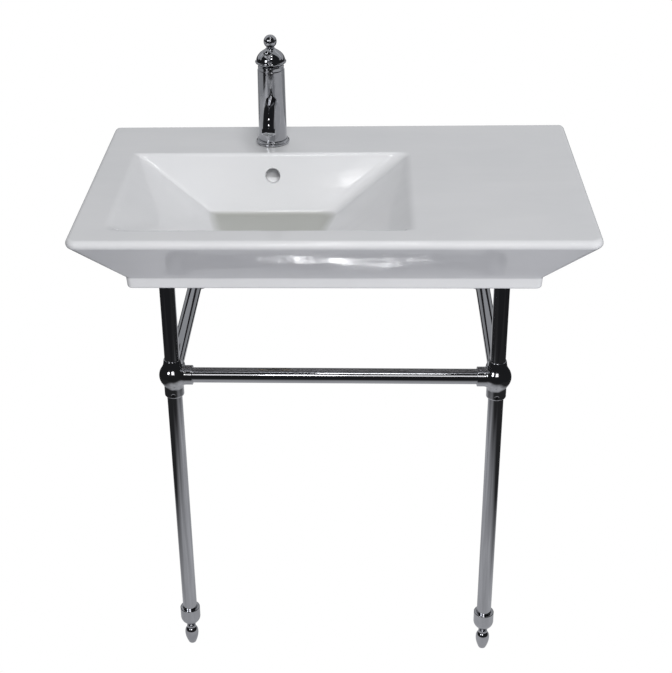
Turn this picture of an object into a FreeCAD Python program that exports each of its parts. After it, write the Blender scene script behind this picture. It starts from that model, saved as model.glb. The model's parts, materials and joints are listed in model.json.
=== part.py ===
import FreeCAD, Part
import os
import math
from FreeCAD import Vector as V

# Console wash basin on a two-leg tube stand.
# Millimetres. +Z up, +X to the right, +Y towards the wall.
# Origin: floor level, at the centre of the outline seen from above.
# The front edge of the basin is at y = -250, the wall plane at y = +250.

# ---------------------------------------------------------------- basin
BASIN_W = 800.0          # widest, measured over the rounded edge
BASIN_D = 500.0          # front edge to wall
DECK_Z = 870.0           # flat top of the basin
EDGE_R = 8.0             # rounding of the rim edge and the corner ridges
BAND_TOP_Z = 773.0       # where the sloping skirt meets the upright band
BAND_BOTTOM_Z = 754.0    # lowest edge of the ceramic band
BAND_INSET_X = 75.0      # skirt inset at the band, sides
BAND_INSET_Y = 77.0      # skirt inset at the band, front
WALL_T = 11.0            # ceramic wall
DECK_T = 12.0            # ceramic under the flat deck
BACK_T = 14.0            # upright back panel
BOWL_X0, BOWL_X1 = -342.0, 122.0
BOWL_Y0, BOWL_Y1 = -204.0, 113.0
FLOOR_Z = 770.0          # bowl floor
FLOOR_XC = -108.0
FLOOR_Y_BACK, FLOOR_HALF_BACK = 83.0, 103.0
FLOOR_Y_FRONT, FLOOR_HALF_FRONT = -112.0, 60.0
DRAIN = (-108.0, -45.0)
DRAIN_HOLE_R = 23.0
DRAIN_SEAT_Z = 766.0     # level of the recess that takes the waste flange
DRAIN_BOSS_Z = 741.0
OVERFLOW_R = 12.2
OVERFLOW_Z = 833.0
WALL_HOLE_R = 7.0
WALL_HOLE_X = 140.0
WALL_HOLE_Z = 815.0
BOSS_R = 31.0            # ceramic pads above the legs
BOSS_Z = 770.0

# ---------------------------------------------------------------- mixer tap
TAP = (-110.0, 168.0)
TAP_HOLE_R = 17.5
GASKET_T = 1.2
BODY_R0, BODY_R1 = 24.2, 23.0      # body radius at the foot and at the top
BODY_TOP = 131.0         # heights from here on are above the deck
GROOVE_TOP = 139.0
PIVOT_H = 146.0          # height of the lever's tilt axis
DOME_RIM_H = 143.0
DOME_TOP_H = 168.0
BALL_H = 178.8
BALL_R = 11.1
SPOUT_R = 10.0
SPOUT_H = 80.0           # height of the spout's axis at the body
SPOUT_STRAIGHT = 62.0    # axis distance where the bend starts
SPOUT_BEND_R = 44.0
SPOUT_BEND = 58.0        # degrees
LEVER_ANGLE = 31.0       # degrees above level
TAIL_X = 9.2             # inlet tails either side of the tap's axis
TAIL_Z = 700.0           # their lower ends
NIPPLE_R = 8.33
NIPPLE_L = 16.0

# ---------------------------------------------------------------- stand
LEG_X = 267.0
LEG_Y = -130.0
TUBE_R = 12.7
TUBE_T = 1.5
NODE_Z = 573.0           # height of the ball connectors and the crossbar
NODE_R = 23.5
SOCKET_R = 16.3
SOCKET_OUT = 33.0        # socket mouth from the ball's centre, side and back
SOCKET_UP = 31.0
SOCKET_DOWN = 38.0
TUBE_GAP = 13.0          # tube end from the ball's centre
WALL_Y = 250.0
WFL_R = 30.0
WFL_T = 7.0
WFL_PCD_R = 23.0
CUP_TOP_Z = 83.0         # foot cup
CUP_BOTTOM_Z = 45.0
CUP_R = 17.8
FOOT_REST_GAP = 5.0      # thread left showing between cup and foot
STEM_R = 4.95
INSERT_R = 5.0

os.makedirs("parts", exist_ok=True)
made = []


def out(name, shape):
    """Writes one named piece, after a check that it is sound."""
    if isinstance(shape, (list, tuple)):
        shape = Part.makeCompound(list(shape))
    sol = shape.Solids
    bad = [s for s in sol if not s.isValid() or s.Volume <= 0]
    print("%-24s solids %d volume %10.1f %s" % (name, len(sol), sum(s.Volume for s in sol), "INVALID" if bad or not sol else ""))
    if len(sol) == 1:
        shape = sol[0]
    shape.exportStep("parts/%s.step" % name)
    made.append(name)


def cyl(x, y, z, r, h, d=(0, 0, 1)):
    return Part.makeCylinder(r, h, V(x, y, z), V(*d))


def box(x0, y0, z0, x1, y1, z1):
    return Part.makeBox(x1 - x0, y1 - y0, z1 - z0, V(x0, y0, z0))


def lathe(pts, x=0.0, y=0.0, z=0.0):
    """Turns a closed (radius, height) outline about the vertical."""
    p = [V(r, 0, h) for r, h in pts]
    f = Part.Face(Part.makePolygon(p + [p[0]]))
    s = f.revolve(V(0, 0, 0), V(0, 0, 1), 360)
    if s.Volume < 0:
        s.reverse()
    s.translate(V(x, y, z))
    return s


def lathe_edges(edges):
    """Turns a closed chain of edges in the XZ plane about the vertical."""
    f = Part.Face(Part.Wire(Part.__sortEdges__(edges)))
    s = f.revolve(V(0, 0, 0), V(0, 0, 1), 360)
    if s.Volume < 0:
        s.reverse()
    return s


def seg(a, b):
    return Part.makeLine(V(a[0], 0, a[1]), V(b[0], 0, b[1]))


def arc3(a, m, b):
    return Part.Arc(V(a[0], 0, a[1]), V(m[0], 0, m[1]), V(b[0], 0, b[1])).toShape()


def solid_of(faces):
    sh = Part.Shell([Part.Face(Part.makePolygon([V(*p) for p in f] + [V(*f[0])])) for f in faces])
    s = Part.Solid(sh)
    if s.Volume < 0:
        s.reverse()
    return s


def edges_where(shape, test):
    res = []
    for e in shape.Edges:
        pts = [v.Point for v in e.Vertexes]
        if pts and test(e, pts):
            res.append(e)
    return res


def tube(x, y, z, d, length, r=TUBE_R, t=TUBE_T):
    o = Part.makeCylinder(r, length, V(x, y, z), V(*d))
    return o.cut(Part.makeCylinder(r - t, length, V(x, y, z), V(*d)))


# ================================================================ basin
def sharp_overhang(inset, drop, r):
    """Sharp-corner overhang that leaves the rounded edge at nominal size."""
    e = r
    for _ in range(60):
        phi = math.atan2(drop, inset + e)
        e = r / math.tan(phi / 2) - r
    return e


HW = BASIN_W / 2
HD = BASIN_D / 2
drop = DECK_Z - BAND_TOP_Z
ex = sharp_overhang(BAND_INSET_X, drop, EDGE_R)
ey = sharp_overhang(BAND_INSET_Y, drop, EDGE_R)
TX, TY = HW + ex, HD + ey
BX, BY = HW - BAND_INSET_X, HD - BAND_INSET_Y
DRAFT = 1.2


def skirted(tx, tyf, ztop, bx, byf, zband, zbot, yback, draft=0.0):
    """Tapered box: sloping front and sides above an upright band, flat back."""
    a = [(-tx, -tyf, ztop), (tx, -tyf, ztop), (tx, yback, ztop), (-tx, yback, ztop)]
    b = [(-bx, -byf, zband), (bx, -byf, zband), (bx, yback, zband), (-bx, yback, zband)]
    c = [(-bx + draft, -byf + draft, zbot), (bx - draft, -byf + draft, zbot), (bx - draft, yback, zbot), (-bx + draft, yback, zbot)]
    faces = [a, c[::-1],
             [a[0], b[0], b[1], a[1]], [b[0], c[0], c[1], b[1]],
             [a[1], b[1], b[2], a[2]], [b[1], c[1], c[2], b[2]],
             [a[3], a[0], b[0], b[3]], [b[3], b[0], c[0], c[3]],
             [a[2], b[2], c[2], c[3], b[3], a[3]]]
    return solid_of(faces)


outer = skirted(TX, TY, DECK_Z, BX, BY, BAND_TOP_Z, BAND_BOTTOM_Z, HD, DRAFT)


def try_fillet(shape, r, edges, label):
    if not edges:
        print("no edges for", label)
        return shape
    for k in (1.0, 0.7, 0.45):
        try:
            s = shape.makeFillet(r * k, edges)
            if s.isValid() and s.Volume > 0:
                if k != 1.0:
                    print("rounding", label, "made at", r * k)
                return s.Solids[0] if s.Solids else s
        except Exception as err:
            last = err
    print("rounding left out:", label)
    return shape


def slanted(e, p):
    return len(p) == 2 and abs(p[0].z - p[1].z) > 5 and p[0].y < 0 and p[1].y < 0


def back_up(e, p):
    return len(p) == 2 and abs(p[0].z - p[1].z) > 5 and abs(p[0].y - HD) < 0.1 and abs(p[1].y - HD) < 0.1


def rim(e, p):
    return all(abs(q.z - DECK_Z) < 0.01 for q in p)


outer = try_fillet(outer, EDGE_R, edges_where(outer, lambda e, p: slanted(e, p) or rim(e, p) or back_up(e, p)), "rim and corners")
outer = try_fillet(outer, 4.0, edges_where(outer, lambda e, p: all(abs(q.z - BAND_BOTTOM_Z) < 0.01 for q in p)), "band foot")


def bowl_poly(x0, x1, y0, y1, ztop, zf, xc, yb, hb, yf, hf, up):
    """Faceted bowl: side walls fold along the line from the front rim corner to the floor's back corner."""
    BL, BR, FR, FL = (x0, y1, ztop), (x1, y1, ztop), (x1, y0, ztop), (x0, y0, ztop)
    fbl, fbr, ffr, ffl = (xc - hb, yb, zf), (xc + hb, yb, zf), (xc + hf, yf, zf), (xc - hf, yf, zf)
    uBL, uBR, uFR, uFL = [(q[0], q[1], ztop + up) for q in (BL, BR, FR, FL)]
    faces = [[BL, BR, fbr, fbl],
             [FL, BL, fbl], [FL, fbl, ffl],
             [BR, FR, fbr], [FR, ffr, fbr],
             [FR, FL, ffl, ffr],
             [fbl, fbr, ffr, ffl],
             [uBL, uFL, uFR, uBR],
             [BL, uBL, uBR, BR], [BR, uBR, uFR, FR], [FR, uFR, uFL, FL], [FL, uFL, uBL, BL]]
    return solid_of(faces)


bowl = bowl_poly(BOWL_X0, BOWL_X1, BOWL_Y0, BOWL_Y1, DECK_Z, FLOOR_Z, FLOOR_XC,
                 FLOOR_Y_BACK, FLOOR_HALF_BACK, FLOOR_Y_FRONT, FLOOR_HALF_FRONT, 12)


# the bowl's underside, one wall thickness out
bowl_out = bowl_poly(BOWL_X0 - 18.1, BOWL_X1 + 18.1, BOWL_Y0 - 15.1, BOWL_Y1 + 11.5, DECK_Z, FLOOR_Z - WALL_T, FLOOR_XC,
                     FLOOR_Y_BACK + 8.2, FLOOR_HALF_BACK + 4.0, FLOOR_Y_FRONT - 4.5, FLOOR_HALF_FRONT + 5.5, 2)

# open space under the deck, between skirt and bowl
sx = (TX - BX) / drop
sy = (TY - BY) / drop
hx = WALL_T * math.sqrt(1 + sx * sx)
hy = WALL_T * math.sqrt(1 + sy * sy)
zi = DECK_Z - DECK_T
inner = skirted(TX - sx * DECK_T - hx, TY - sy * DECK_T - hy, zi, BX - WALL_T, BY - WALL_T,
                BAND_TOP_Z + 3.0, BAND_BOTTOM_Z - 20, HD - BACK_T)
boss_l = cyl(-LEG_X, LEG_Y, BOSS_Z, BOSS_R, 95)
boss_r = cyl(LEG_X, LEG_Y, BOSS_Z, BOSS_R, 95)
drain_boss = cyl(DRAIN[0], DRAIN[1], DRAIN_BOSS_Z, 43, 40)

# overflow duct: ceramic casing behind the bowl and under its floor
OW, OI = 23.0, 13.0      # casing and passage half-widths

def prism_x(poly, x0, x1):
    """Extrudes a (y, z) outline from x0 to x1."""
    w = Part.makePolygon([V(x0, a, b) for a, b in poly] + [V(x0, poly[0][0], poly[0][1])])
    return Part.Face(w).extrude(V(x1 - x0, 0, 0))


duct_out = prism_x([(100, 861), (139, 861), (139, 741), (DRAIN[1], 741), (DRAIN[1], 764), (88, 764)], FLOOR_XC - OW, FLOOR_XC + OW)
duct_in = prism_x([(123.5, OVERFLOW_Z + 13), (132.5, OVERFLOW_Z + 13), (132.5, 748), (DRAIN[1], 748), (DRAIN[1], 757.5), (112, 757.5), (123.5, 768)],
                  FLOOR_XC - OI, FLOOR_XC + OI)

hollow = inner.cut(bowl_out).cut(boss_l).cut(boss_r).cut(drain_boss).cut(duct_out)
# keep only the pieces of the open space that reach the open bottom
hollow_parts = [s for s in hollow.Solids if s.BoundBox.ZMin < BAND_BOTTOM_Z - 1]
print("open space pieces", len(hollow.Solids), "kept", len(hollow_parts))
basin = outer
for s in hollow_parts:
    basin = basin.cut(s)
basin = basin.fuse(drain_boss.common(box(-200, -150, 735, 20, 60, 768))).fuse(duct_out)
basin = basin.removeSplitter()
basin = basin.cut(bowl)
# bevel around the bowl's mouth
MB = 3.0
ma = [(BOWL_X0 - MB, BOWL_Y0 - MB), (BOWL_X1 + MB, BOWL_Y0 - MB), (BOWL_X1 + MB, BOWL_Y1 + MB), (BOWL_X0 - MB, BOWL_Y1 + MB)]
mb = [(BOWL_X0 + MB, BOWL_Y0 + MB), (BOWL_X1 - MB, BOWL_Y0 + MB), (BOWL_X1 - MB, BOWL_Y1 - 1), (BOWL_X0 + MB, BOWL_Y1 - 1)]
mt = [(x, y, DECK_Z + 0.01) for x, y in ma]
ml = [(x, y, DECK_Z - MB) for x, y in mb]
basin = basin.cut(solid_of([mt, ml[::-1]] + [[mt[i], ml[i], ml[(i + 1) % 4], mt[(i + 1) % 4]] for i in range(4)]))
# shallow dish to the drain, then the seat and the hole
dish = lathe([(0, DRAIN_SEAT_Z), (34, DRAIN_SEAT_Z), (59, FLOOR_Z + 0.05), (59, FLOOR_Z + 6), (0, FLOOR_Z + 6)], DRAIN[0], DRAIN[1])
basin = basin.cut(dish)
basin = basin.cut(cyl(DRAIN[0], DRAIN[1], 700, DRAIN_HOLE_R, 100))
basin = basin.cut(duct_in)
# round overflow hole through the bowl's back wall, square to it
lean = math.atan2(BOWL_Y1 - FLOOR_Y_BACK, DECK_Z - FLOOR_Z)
oy = BOWL_Y1 - (DECK_Z - OVERFLOW_Z) * math.tan(lean)
basin = basin.cut(cyl(FLOOR_XC, oy - 6 * math.cos(lean), OVERFLOW_Z + 6 * math.sin(lean), OVERFLOW_R, 30, (0, math.cos(lean), -math.sin(lean))))
# tap hole and the two wall-fixing holes
basin = basin.cut(cyl(TAP[0], TAP[1], DECK_Z - 40, TAP_HOLE_R, 60))
for s in (-1, 1):
    basin = basin.cut(cyl(s * WALL_HOLE_X, HD - BACK_T - 2, WALL_HOLE_Z, WALL_HOLE_R, BACK_T + 10, (0, 1, 0)))


basin = basin.removeSplitter()
out("basin", basin)


# ================================================================ mixer tap
tx, ty = TAP
H = DECK_Z


def turn(name_pts, x=tx, y=ty, z=H):
    return lathe(name_pts, x, y, z)


def along(shape, origin, direction):
    """Places a piece turned about +Z so that its axis runs from origin along direction."""
    s = shape.copy()
    s.Placement = FreeCAD.Placement(V(*origin), FreeCAD.Rotation(V(0, 0, 1), V(*direction))).multiply(s.Placement)
    return s


out("tap_gasket", turn([(18.0, 0), (27.5, 0), (27.5, GASKET_T), (18.0, GASKET_T)]))
FOOT_H = 8.0
out("tap_base_ring", turn([(18.5, GASKET_T), (28.8, GASKET_T), (28.8, 4.8), (26.4, 5.8), (26.4, FOOT_H), (18.5, FOOT_H)]))

DIV0, DIV1 = 60.0, 92.0          # solid part between the lower hollow and the cartridge chamber
body_outer = turn([(0, FOOT_H), (BODY_R0, FOOT_H), (BODY_R1, BODY_TOP - 0.8), (BODY_R1 - 0.8, BODY_TOP), (0, BODY_TOP)])
body = body_outer.cut(cyl(tx, ty, H + FOOT_H - 1, 17.5, DIV0 - FOOT_H + 1))
body = body.cut(cyl(tx, ty, H + DIV1, 18.5, 60))
for s in (-1, 1):
    body = body.cut(cyl(tx + s * TAIL_X, ty - 2, H + DIV0 - 1, 5.0, 9.0)).cut(cyl(tx + s * TAIL_X, ty - 2, H + DIV0 - 1, 4.0, 40))
body = body.cut(cyl(tx, ty + 12, H + DIV0 - 1, 4.0, 13))
body = body.cut(cyl(tx, ty - 10, H + SPOUT_H, 4.5, 20))
body = body.cut(cyl(tx, ty - 30, H + SPOUT_H, 6.0, 22, (0, 1, 0)))
body = body.cut(cyl(tx, ty - 30, H + SPOUT_H, 8.0, 15.5, (0, 1, 0)))
out("tap_body", body)

# spout: straight run, then one bend towards the bowl
a = math.radians(SPOUT_BEND)
p0 = V(tx, ty - 14.5, H + SPOUT_H)
p1 = V(tx, ty - SPOUT_STRAIGHT, H + SPOUT_H)
cb = V(tx, ty - SPOUT_STRAIGHT, H + SPOUT_H - SPOUT_BEND_R)
p2 = cb + V(0, -SPOUT_BEND_R * math.sin(a / 2), SPOUT_BEND_R * math.cos(a / 2))
p3 = cb + V(0, -SPOUT_BEND_R * math.sin(a), SPOUT_BEND_R * math.cos(a))
sd = (0, -math.cos(a), -math.sin(a))


def pipe(r, start):
    path = Part.Wire([Part.makeLine(start, p1), Part.Arc(p1, p2, p3).toShape()])
    prof = Part.Wire([Part.makeCircle(r, start, V(0, -1, 0))])
    return path.makePipeShell([prof], True, False)


spout = pipe(SPOUT_R, p0).cut(body_outer)
spout = spout.fuse(cyl(tx, ty - 26, H + SPOUT_H, 8.0, 11.5, (0, 1, 0)))
spout = spout.cut(pipe(6.0, p0 + V(0, 1, 0)))
spout = spout.removeSplitter()
out("spout", spout)
AER_L = 9.0
aer = lathe([(6.2, 0), (11.2, 0), (11.7, 0.6), (11.7, AER_L - 0.8), (11.0, AER_L), (8.6, AER_L), (8.6, 1.6), (6.2, 1.6)])
out("aerator_ring", along(aer, p3, sd))
ins = lathe([(0, 1.6), (8.5, 1.6), (8.5, AER_L - 1.2), (0, AER_L - 1.2)])
for k in range(6):
    t = math.radians(60 * k)
    ins = ins.cut(cyl(5.2 * math.cos(t), 5.2 * math.sin(t), 0, 1.2, 12))
out("aerator_insert", along(ins, p3, sd))

# cartridge, its nut and the parts that turn and tilt
cart = turn([(0, DIV1), (17.5, DIV1), (17.5, 126), (14.0, 126), (14.0, 134), (10.3, 134), (10.3, 118), (0, 118)])
for s in (-1, 1):
    cart = cart.cut(cyl(tx + s * TAIL_X, ty - 2, H + DIV1 - 1, 3.5, 10))
cart = cart.cut(cyl(tx, ty - 10, H + DIV1 - 1, 3.8, 10))
out("cartridge", cart)
out("cartridge_nut", turn([(14.2, 126), (18.4, 126), (18.4, BODY_TOP), (22.0, BODY_TOP), (22.0, 137), (20.5, GROOVE_TOP), (14.2, GROOVE_TOP)]))
rotor = turn([(0, 118.3), (10.25, 118.3), (10.25, 133), (0, 133)])
for s in (-1, 1):
    x0, x1 = sorted((s * 4.3, s * 8.0))
    rotor = rotor.fuse(box(tx + x0, ty - 5, H + 132, tx + x1, ty + 5, H + PIVOT_H + 4))
rotor = rotor.cut(cyl(tx - 20, ty, H + PIVOT_H, 2.0, 40, (1, 0, 0)))
out("cartridge_rotor", rotor)
out("pivot_pin", cyl(tx - 8, ty, H + PIVOT_H, 2.0, 16, (1, 0, 0)))
stem = box(tx - 4, ty - 4, H + 140, tx + 4, ty + 4, H + 162).cut(cyl(tx - 20, ty, H + PIVOT_H, 2.05, 40, (1, 0, 0)))
out("cartridge_stem", stem)

DOME_OUT = [(26.0, 143), (26.35, 143.7), (26.35, 144.9), (25.9, 145.7), (24.9, 146.3), (24.6, 147.6), (24.0, 150.2),
            (22.9, 152.9), (21.2, 155.6), (19.0, 158.2), (16.2, 160.7), (13.2, 162.8), (10.4, 164.6), (8.4, 166.2), (7.2, 168)]
DOME_IN = [(24.4, 143), (23.7, 147.0), (22.2, 150.6), (20.2, 153.8), (17.6, 156.7), (14.4, 159.2), (11.0, 161.2), (7.5, 162.4), (7.5, 152.6), (0, 152.6)]
dome_outer = turn([(0, 143)] + DOME_OUT + [(0, 168)])
dome = turn(DOME_OUT + [(0, 168)] + DOME_IN[::-1])
dome = dome.cut(box(tx - 4, ty - 4, H + 150, tx + 4, ty + 4, H + 162))
dome = dome.cut(cyl(tx, ty, H + 161.9, 2.5, 10))
la = math.radians(LEVER_ANGLE)
ld = (0, -math.cos(la), math.sin(la))
lo = V(tx, ty - 19.0, H + 147.8)


def on_lever(d):
    return lo + V(*ld) * d


dome = dome.cut(along(lathe([(0, -1.0), (2.5, -1.0), (2.5, 12), (0, 12)]), lo, ld))
out("dome_cap", dome)
out("finial", turn([(0, 162), (2.5, 162), (2.5, 168), (7.0, 168), (5.6, 168.5), (5.0, 169.0), (5.1, 169.4), (5.6, 169.2)][:6]
                   + [(BALL_R * math.sin(math.radians(k)), BALL_H - BALL_R * math.cos(math.radians(k))) for k in range(30, 181, 6)][:-1]
                   + [(0, BALL_H + BALL_R)]))
LEVER_L = (70.0 - 19.0) / math.cos(la)
lever = along(lathe([(0, 2.0), (4.4, 2.0), (4.4, 8.0), (3.4, 11.0), (3.0, 30.0), (3.3, LEVER_L - 12.5), (2.0, LEVER_L - 12.5), (2.0, LEVER_L - 4), (0, LEVER_L - 4)]), lo, ld).cut(dome_outer)
lever = lever.fuse(along(lathe([(0, -0.9), (2.5, -0.9), (2.5, 9.0), (0, 9.0)]), lo, ld)).removeSplitter()
out("lever", lever)
K = LEVER_L
kr = 7.3
knob = lathe([(2.0, K - 12.5), (3.6, K - 12.5), (4.5, K - 11.5), (4.9, K - 10.2), (4.5, K - 8.9), (3.5, K - 8.0), (3.1, K - 7.2)]
             + [(kr * math.sin(math.radians(k)), K - kr * math.cos(math.radians(k))) for k in range(30, 176, 8)] + [(0, K + kr), (0, K - 4), (2.0, K - 4)])
out("lever_knob", along(knob, lo, ld))

# fixing and supply under the deck
out("tap_stud", cyl(tx, ty + 12, H - 48, 4.0, 48 + DIV0 + 12))


def horseshoe(z0, z1, r):
    w = cyl(tx, ty, H + z0, r, z1 - z0)
    w = w.cut(cyl(tx, ty + 12, H + z0 - 1, 4.3, z1 - z0 + 2))
    return w.cut(box(tx - 14.5, ty - 40, H + z0 - 1, tx + 14.5, ty + 5, H + z1 + 1))


out("tap_rubber_washer", horseshoe(-DECK_T - 3, -DECK_T, 25.5))
out("tap_steel_washer", horseshoe(-DECK_T - 5, -DECK_T - 3, 25.0))


def hexagon(af, z0, z1, rin, x, y):
    r = af / 2 / math.cos(math.pi / 6)
    pts = [V(x + r * math.cos(math.radians(60 * k)), y + r * math.sin(math.radians(60 * k)), z0) for k in range(6)]
    h = Part.Face(Part.makePolygon(pts + [pts[0]])).extrude(V(0, 0, z1 - z0))
    return h.cut(cyl(x, y, z0 - 1, rin, z1 - z0 + 2))


out("tap_nut", hexagon(13.0, H - DECK_T - 15, H - DECK_T - 5, 4.0, tx, ty + 12))
for nm, s in (("inlet_tail_hot", -1), ("inlet_tail_cold", 1)):
    top = H + DIV0 + 8
    out(nm, lathe([(3.8, TAIL_Z), (NIPPLE_R, TAIL_Z), (NIPPLE_R, TAIL_Z + NIPPLE_L), (5.0, TAIL_Z + NIPPLE_L + 2.5), (5.0, top), (3.8, top)], tx + s * TAIL_X, ty - 2))

# ================================================================ waste
dx, dy = DRAIN
zs = DRAIN_SEAT_Z
WB = 720.0
out("waste_top_gasket", lathe([(21.4, zs), (31, zs), (31, zs + 1.2), (21.4, zs + 1.2)], dx, dy))
waste = lathe([(20.95, WB), (20.95, zs + 1.2), (32, zs + 1.2), (32, zs + 2.3), (30.8, zs + 3.1), (25, zs + 2.2), (19.6, zs - 0.5),
               (19.6, 757), (17.2, 757), (17.2, WB)], dx, dy)
waste = waste.cut(box(dx - 9, dy - 30, 746.5, dx + 9, dy + 30, 755.5))
out("waste_body", waste)
guide = lathe([(15.2, 732), (17.2, 732), (17.2, 742), (15.2, 742)], dx, dy)
hub = cyl(dx, dy, 732, 7.0, 10)
for k in range(3):
    t = math.radians(120 * k + 90)
    sp = box(0, -1.5, 734, 16.0, 1.5, 740)
    sp.rotate(V(0, 0, 0), V(0, 0, 1), 120 * k + 90)
    sp.translate(V(dx, dy, 0))
    hub = hub.fuse(sp)
guide = guide.fuse(hub).cut(cyl(dx, dy, 730, 4.06, 20)).removeSplitter()
out("plug_guide", guide)
out("waste_plug", lathe([(0, 718), (4.0, 718), (4.0, 758.5), (18.6, 758.5), (19.0, 759.0), (19.0, 761.6), (16.5, 763.4), (9.0, 764.8), (0, 765.2)], dx, dy))
out("plug_seal", lathe([(15.6, 757.35), (18.4, 757.35), (18.4, 758.5), (15.6, 758.5)], dx, dy))
out("waste_lower_gasket", lathe([(21.3, 736), (31, 736), (31, DRAIN_BOSS_Z), (21.3, DRAIN_BOSS_Z)], dx, dy))
out("waste_washer", lathe([(21.3, 734), (32, 734), (32, 736), (21.3, 736)], dx, dy))
out("waste_nut", hexagon(56.0, 724, 734, 20.95, dx, dy))
out("tailpiece", lathe([(14.4, 704), (15.875, 704), (15.875, WB), (17.2, WB), (17.2, 730), (14.4, 730)], dx, dy))

# ================================================================ stand
for side, s in (("left", -1), ("right", 1)):
    x = s * LEG_X
    y = LEG_Y
    out("leg_pad_" + side, lathe([(0, 767), (29, 767), (29, BOSS_Z), (0, BOSS_Z)], x, y))
    out("leg_top_plate_" + side, lathe([(12.7, 742), (15.6, 742), (15.6, 758.5), (17.5, 761.8), (29, 761.8), (29, 767), (0, 767), (0, 760), (12.7, 760)], x, y))
    out("upper_leg_" + side, tube(x, y, NODE_Z + TUBE_GAP, (0, 0, 1), 760 - NODE_Z - TUBE_GAP))
    out("lower_leg_" + side, tube(x, y, 56, (0, 0, 1), NODE_Z - TUBE_GAP - 56))
    c = Part.makeSphere(NODE_R, V(x, y, NODE_Z))
    dirs = [((0, 0, 1), SOCKET_UP), ((0, 0, -1), SOCKET_DOWN), ((-s, 0, 0), SOCKET_OUT), ((0, 1, 0), SOCKET_OUT)]
    for d, l in dirs:
        c = c.fuse(cyl(x, y, NODE_Z, SOCKET_R, l, d))
    for d, l in dirs:
        o = V(x, y, NODE_Z) + V(*d) * TUBE_GAP
        c = c.cut(Part.makeCylinder(TUBE_R, 60, o, V(*d)))
    screws = []
    for o, d in (((x, y, NODE_Z - 32), (0, -1, 0)), ((x, y, NODE_Z - 32), (s, 0, 0)),
                 ((x - s * 28, y, NODE_Z), (0, 0, -1)), ((x, y + 28, NODE_Z), (0, 0, -1))):
        a0 = V(*o) + V(*d) * 10
        c = c.cut(Part.makeCylinder(3.0, 10, a0, V(*d)))
        g = Part.makeCylinder(3.0, 2.9, V(*o) + V(*d) * 12.75, V(*d))
        hexr = Part.makeCylinder(1.4, 2.0, V(*o) + V(*d) * 14.4, V(*d))
        screws.append(g.cut(hexr))
    c = c.removeSplitter()
    out("connector_" + side, c)
    out("connector_screws_" + side, screws)
    out("arm_" + side, tube(x, y + TUBE_GAP, NODE_Z, (0, 1, 0), WALL_Y - 8 - y - TUBE_GAP))
    wf = lathe([(12.7, 30), (16.0, 30), (16.0, WFL_T + 2.0), (18.5, WFL_T), (28.5, WFL_T), (WFL_R, WFL_T - 2), (WFL_R, 0), (0, 0), (0, 8), (12.7, 8)])
    for k in range(3):
        t = math.radians(90 + 120 * k)
        wf = wf.cut(cyl(WFL_PCD_R * math.cos(t), WFL_PCD_R * math.sin(t), -1, 2.6, 12))
    wf = wf.cut(Part.makeCylinder(2.5, 8, V(0, -10, 22), V(0, -1, 0)))
    wf.rotate(V(0, 0, 0), V(1, 0, 0), 90)
    wf.translate(V(x, WALL_Y, NODE_Z))
    out("wall_flange_" + side, wf)
    cup = lathe([(5.5, CUP_BOTTOM_Z), (8.2, CUP_BOTTOM_Z), (9.0, 46.4), (12.2, 49.8), (15.2, 53.4), (17.1, 57.2), (CUP_R, 60.5),
                 (CUP_R, CUP_TOP_Z - 1.4), (16.6, CUP_TOP_Z), (12.7, CUP_TOP_Z), (12.7, 56), (5.5, 56)], x, y)
    out("foot_cup_" + side, cup)
    out("leg_insert_" + side, lathe([(INSERT_R, 56), (11.2, 56), (11.2, 76), (INSERT_R, 76)], x, y))
    g = FOOT_REST_GAP
    out("levelling_foot_" + side, lathe([(0, 0), (4.4, 0), (5.4, 0.9), (7.2, 6.0), (9.6, 13.0), (11.5, 19.5), (12.1, 25.0), (11.4, 30.0), (9.6, 33.4),
                                         (7.9, 35.4), (7.5, 37.0), (7.9, 38.6), (7.9, CUP_BOTTOM_Z - g), (STEM_R, CUP_BOTTOM_Z - g), (STEM_R, 74), (0, 74)], x, y))

out("crossbar", tube(-LEG_X + TUBE_GAP, LEG_Y, NODE_Z, (1, 0, 0), 2 * (LEG_X - TUBE_GAP)))
fs = []
for s in (-1, 1):
    g = Part.makeCylinder(2.5, 4.5, V(s * LEG_X, WALL_Y - 22, NODE_Z - 12.75), V(0, 0, -1))
    fs.append(g.cut(Part.makeCylinder(1.2, 2.0, V(s * LEG_X, WALL_Y - 22, NODE_Z - 15.5), V(0, 0, -1))))
out("flange_set_screws", fs)
print("pieces", len(made))
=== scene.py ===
import bpy
import bmesh
import json
import math
import numpy as np
from mathutils import Vector, Matrix

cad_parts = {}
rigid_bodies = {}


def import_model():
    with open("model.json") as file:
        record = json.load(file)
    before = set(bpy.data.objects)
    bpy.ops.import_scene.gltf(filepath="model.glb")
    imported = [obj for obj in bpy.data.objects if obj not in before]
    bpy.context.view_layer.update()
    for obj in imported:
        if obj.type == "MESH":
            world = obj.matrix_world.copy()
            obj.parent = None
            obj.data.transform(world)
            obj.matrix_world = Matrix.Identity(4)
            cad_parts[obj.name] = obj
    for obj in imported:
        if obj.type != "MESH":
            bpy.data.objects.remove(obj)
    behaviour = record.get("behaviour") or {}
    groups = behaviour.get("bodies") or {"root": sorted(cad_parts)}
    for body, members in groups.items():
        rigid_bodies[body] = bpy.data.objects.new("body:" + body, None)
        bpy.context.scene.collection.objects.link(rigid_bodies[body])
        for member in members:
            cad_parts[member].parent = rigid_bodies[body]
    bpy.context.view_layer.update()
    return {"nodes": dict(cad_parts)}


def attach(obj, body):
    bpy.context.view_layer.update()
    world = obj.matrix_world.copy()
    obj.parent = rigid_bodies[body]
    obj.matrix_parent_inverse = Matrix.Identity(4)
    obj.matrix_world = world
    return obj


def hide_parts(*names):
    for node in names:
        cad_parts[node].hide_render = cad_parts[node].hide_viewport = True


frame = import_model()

# Console wash basin on a two-leg tube stand: the looks.
# Dimensions below are millimetres and are turned into metres when a mesh is made.
MM = 0.001
NODES = frame["nodes"]
COLL = bpy.context.scene.collection

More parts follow.
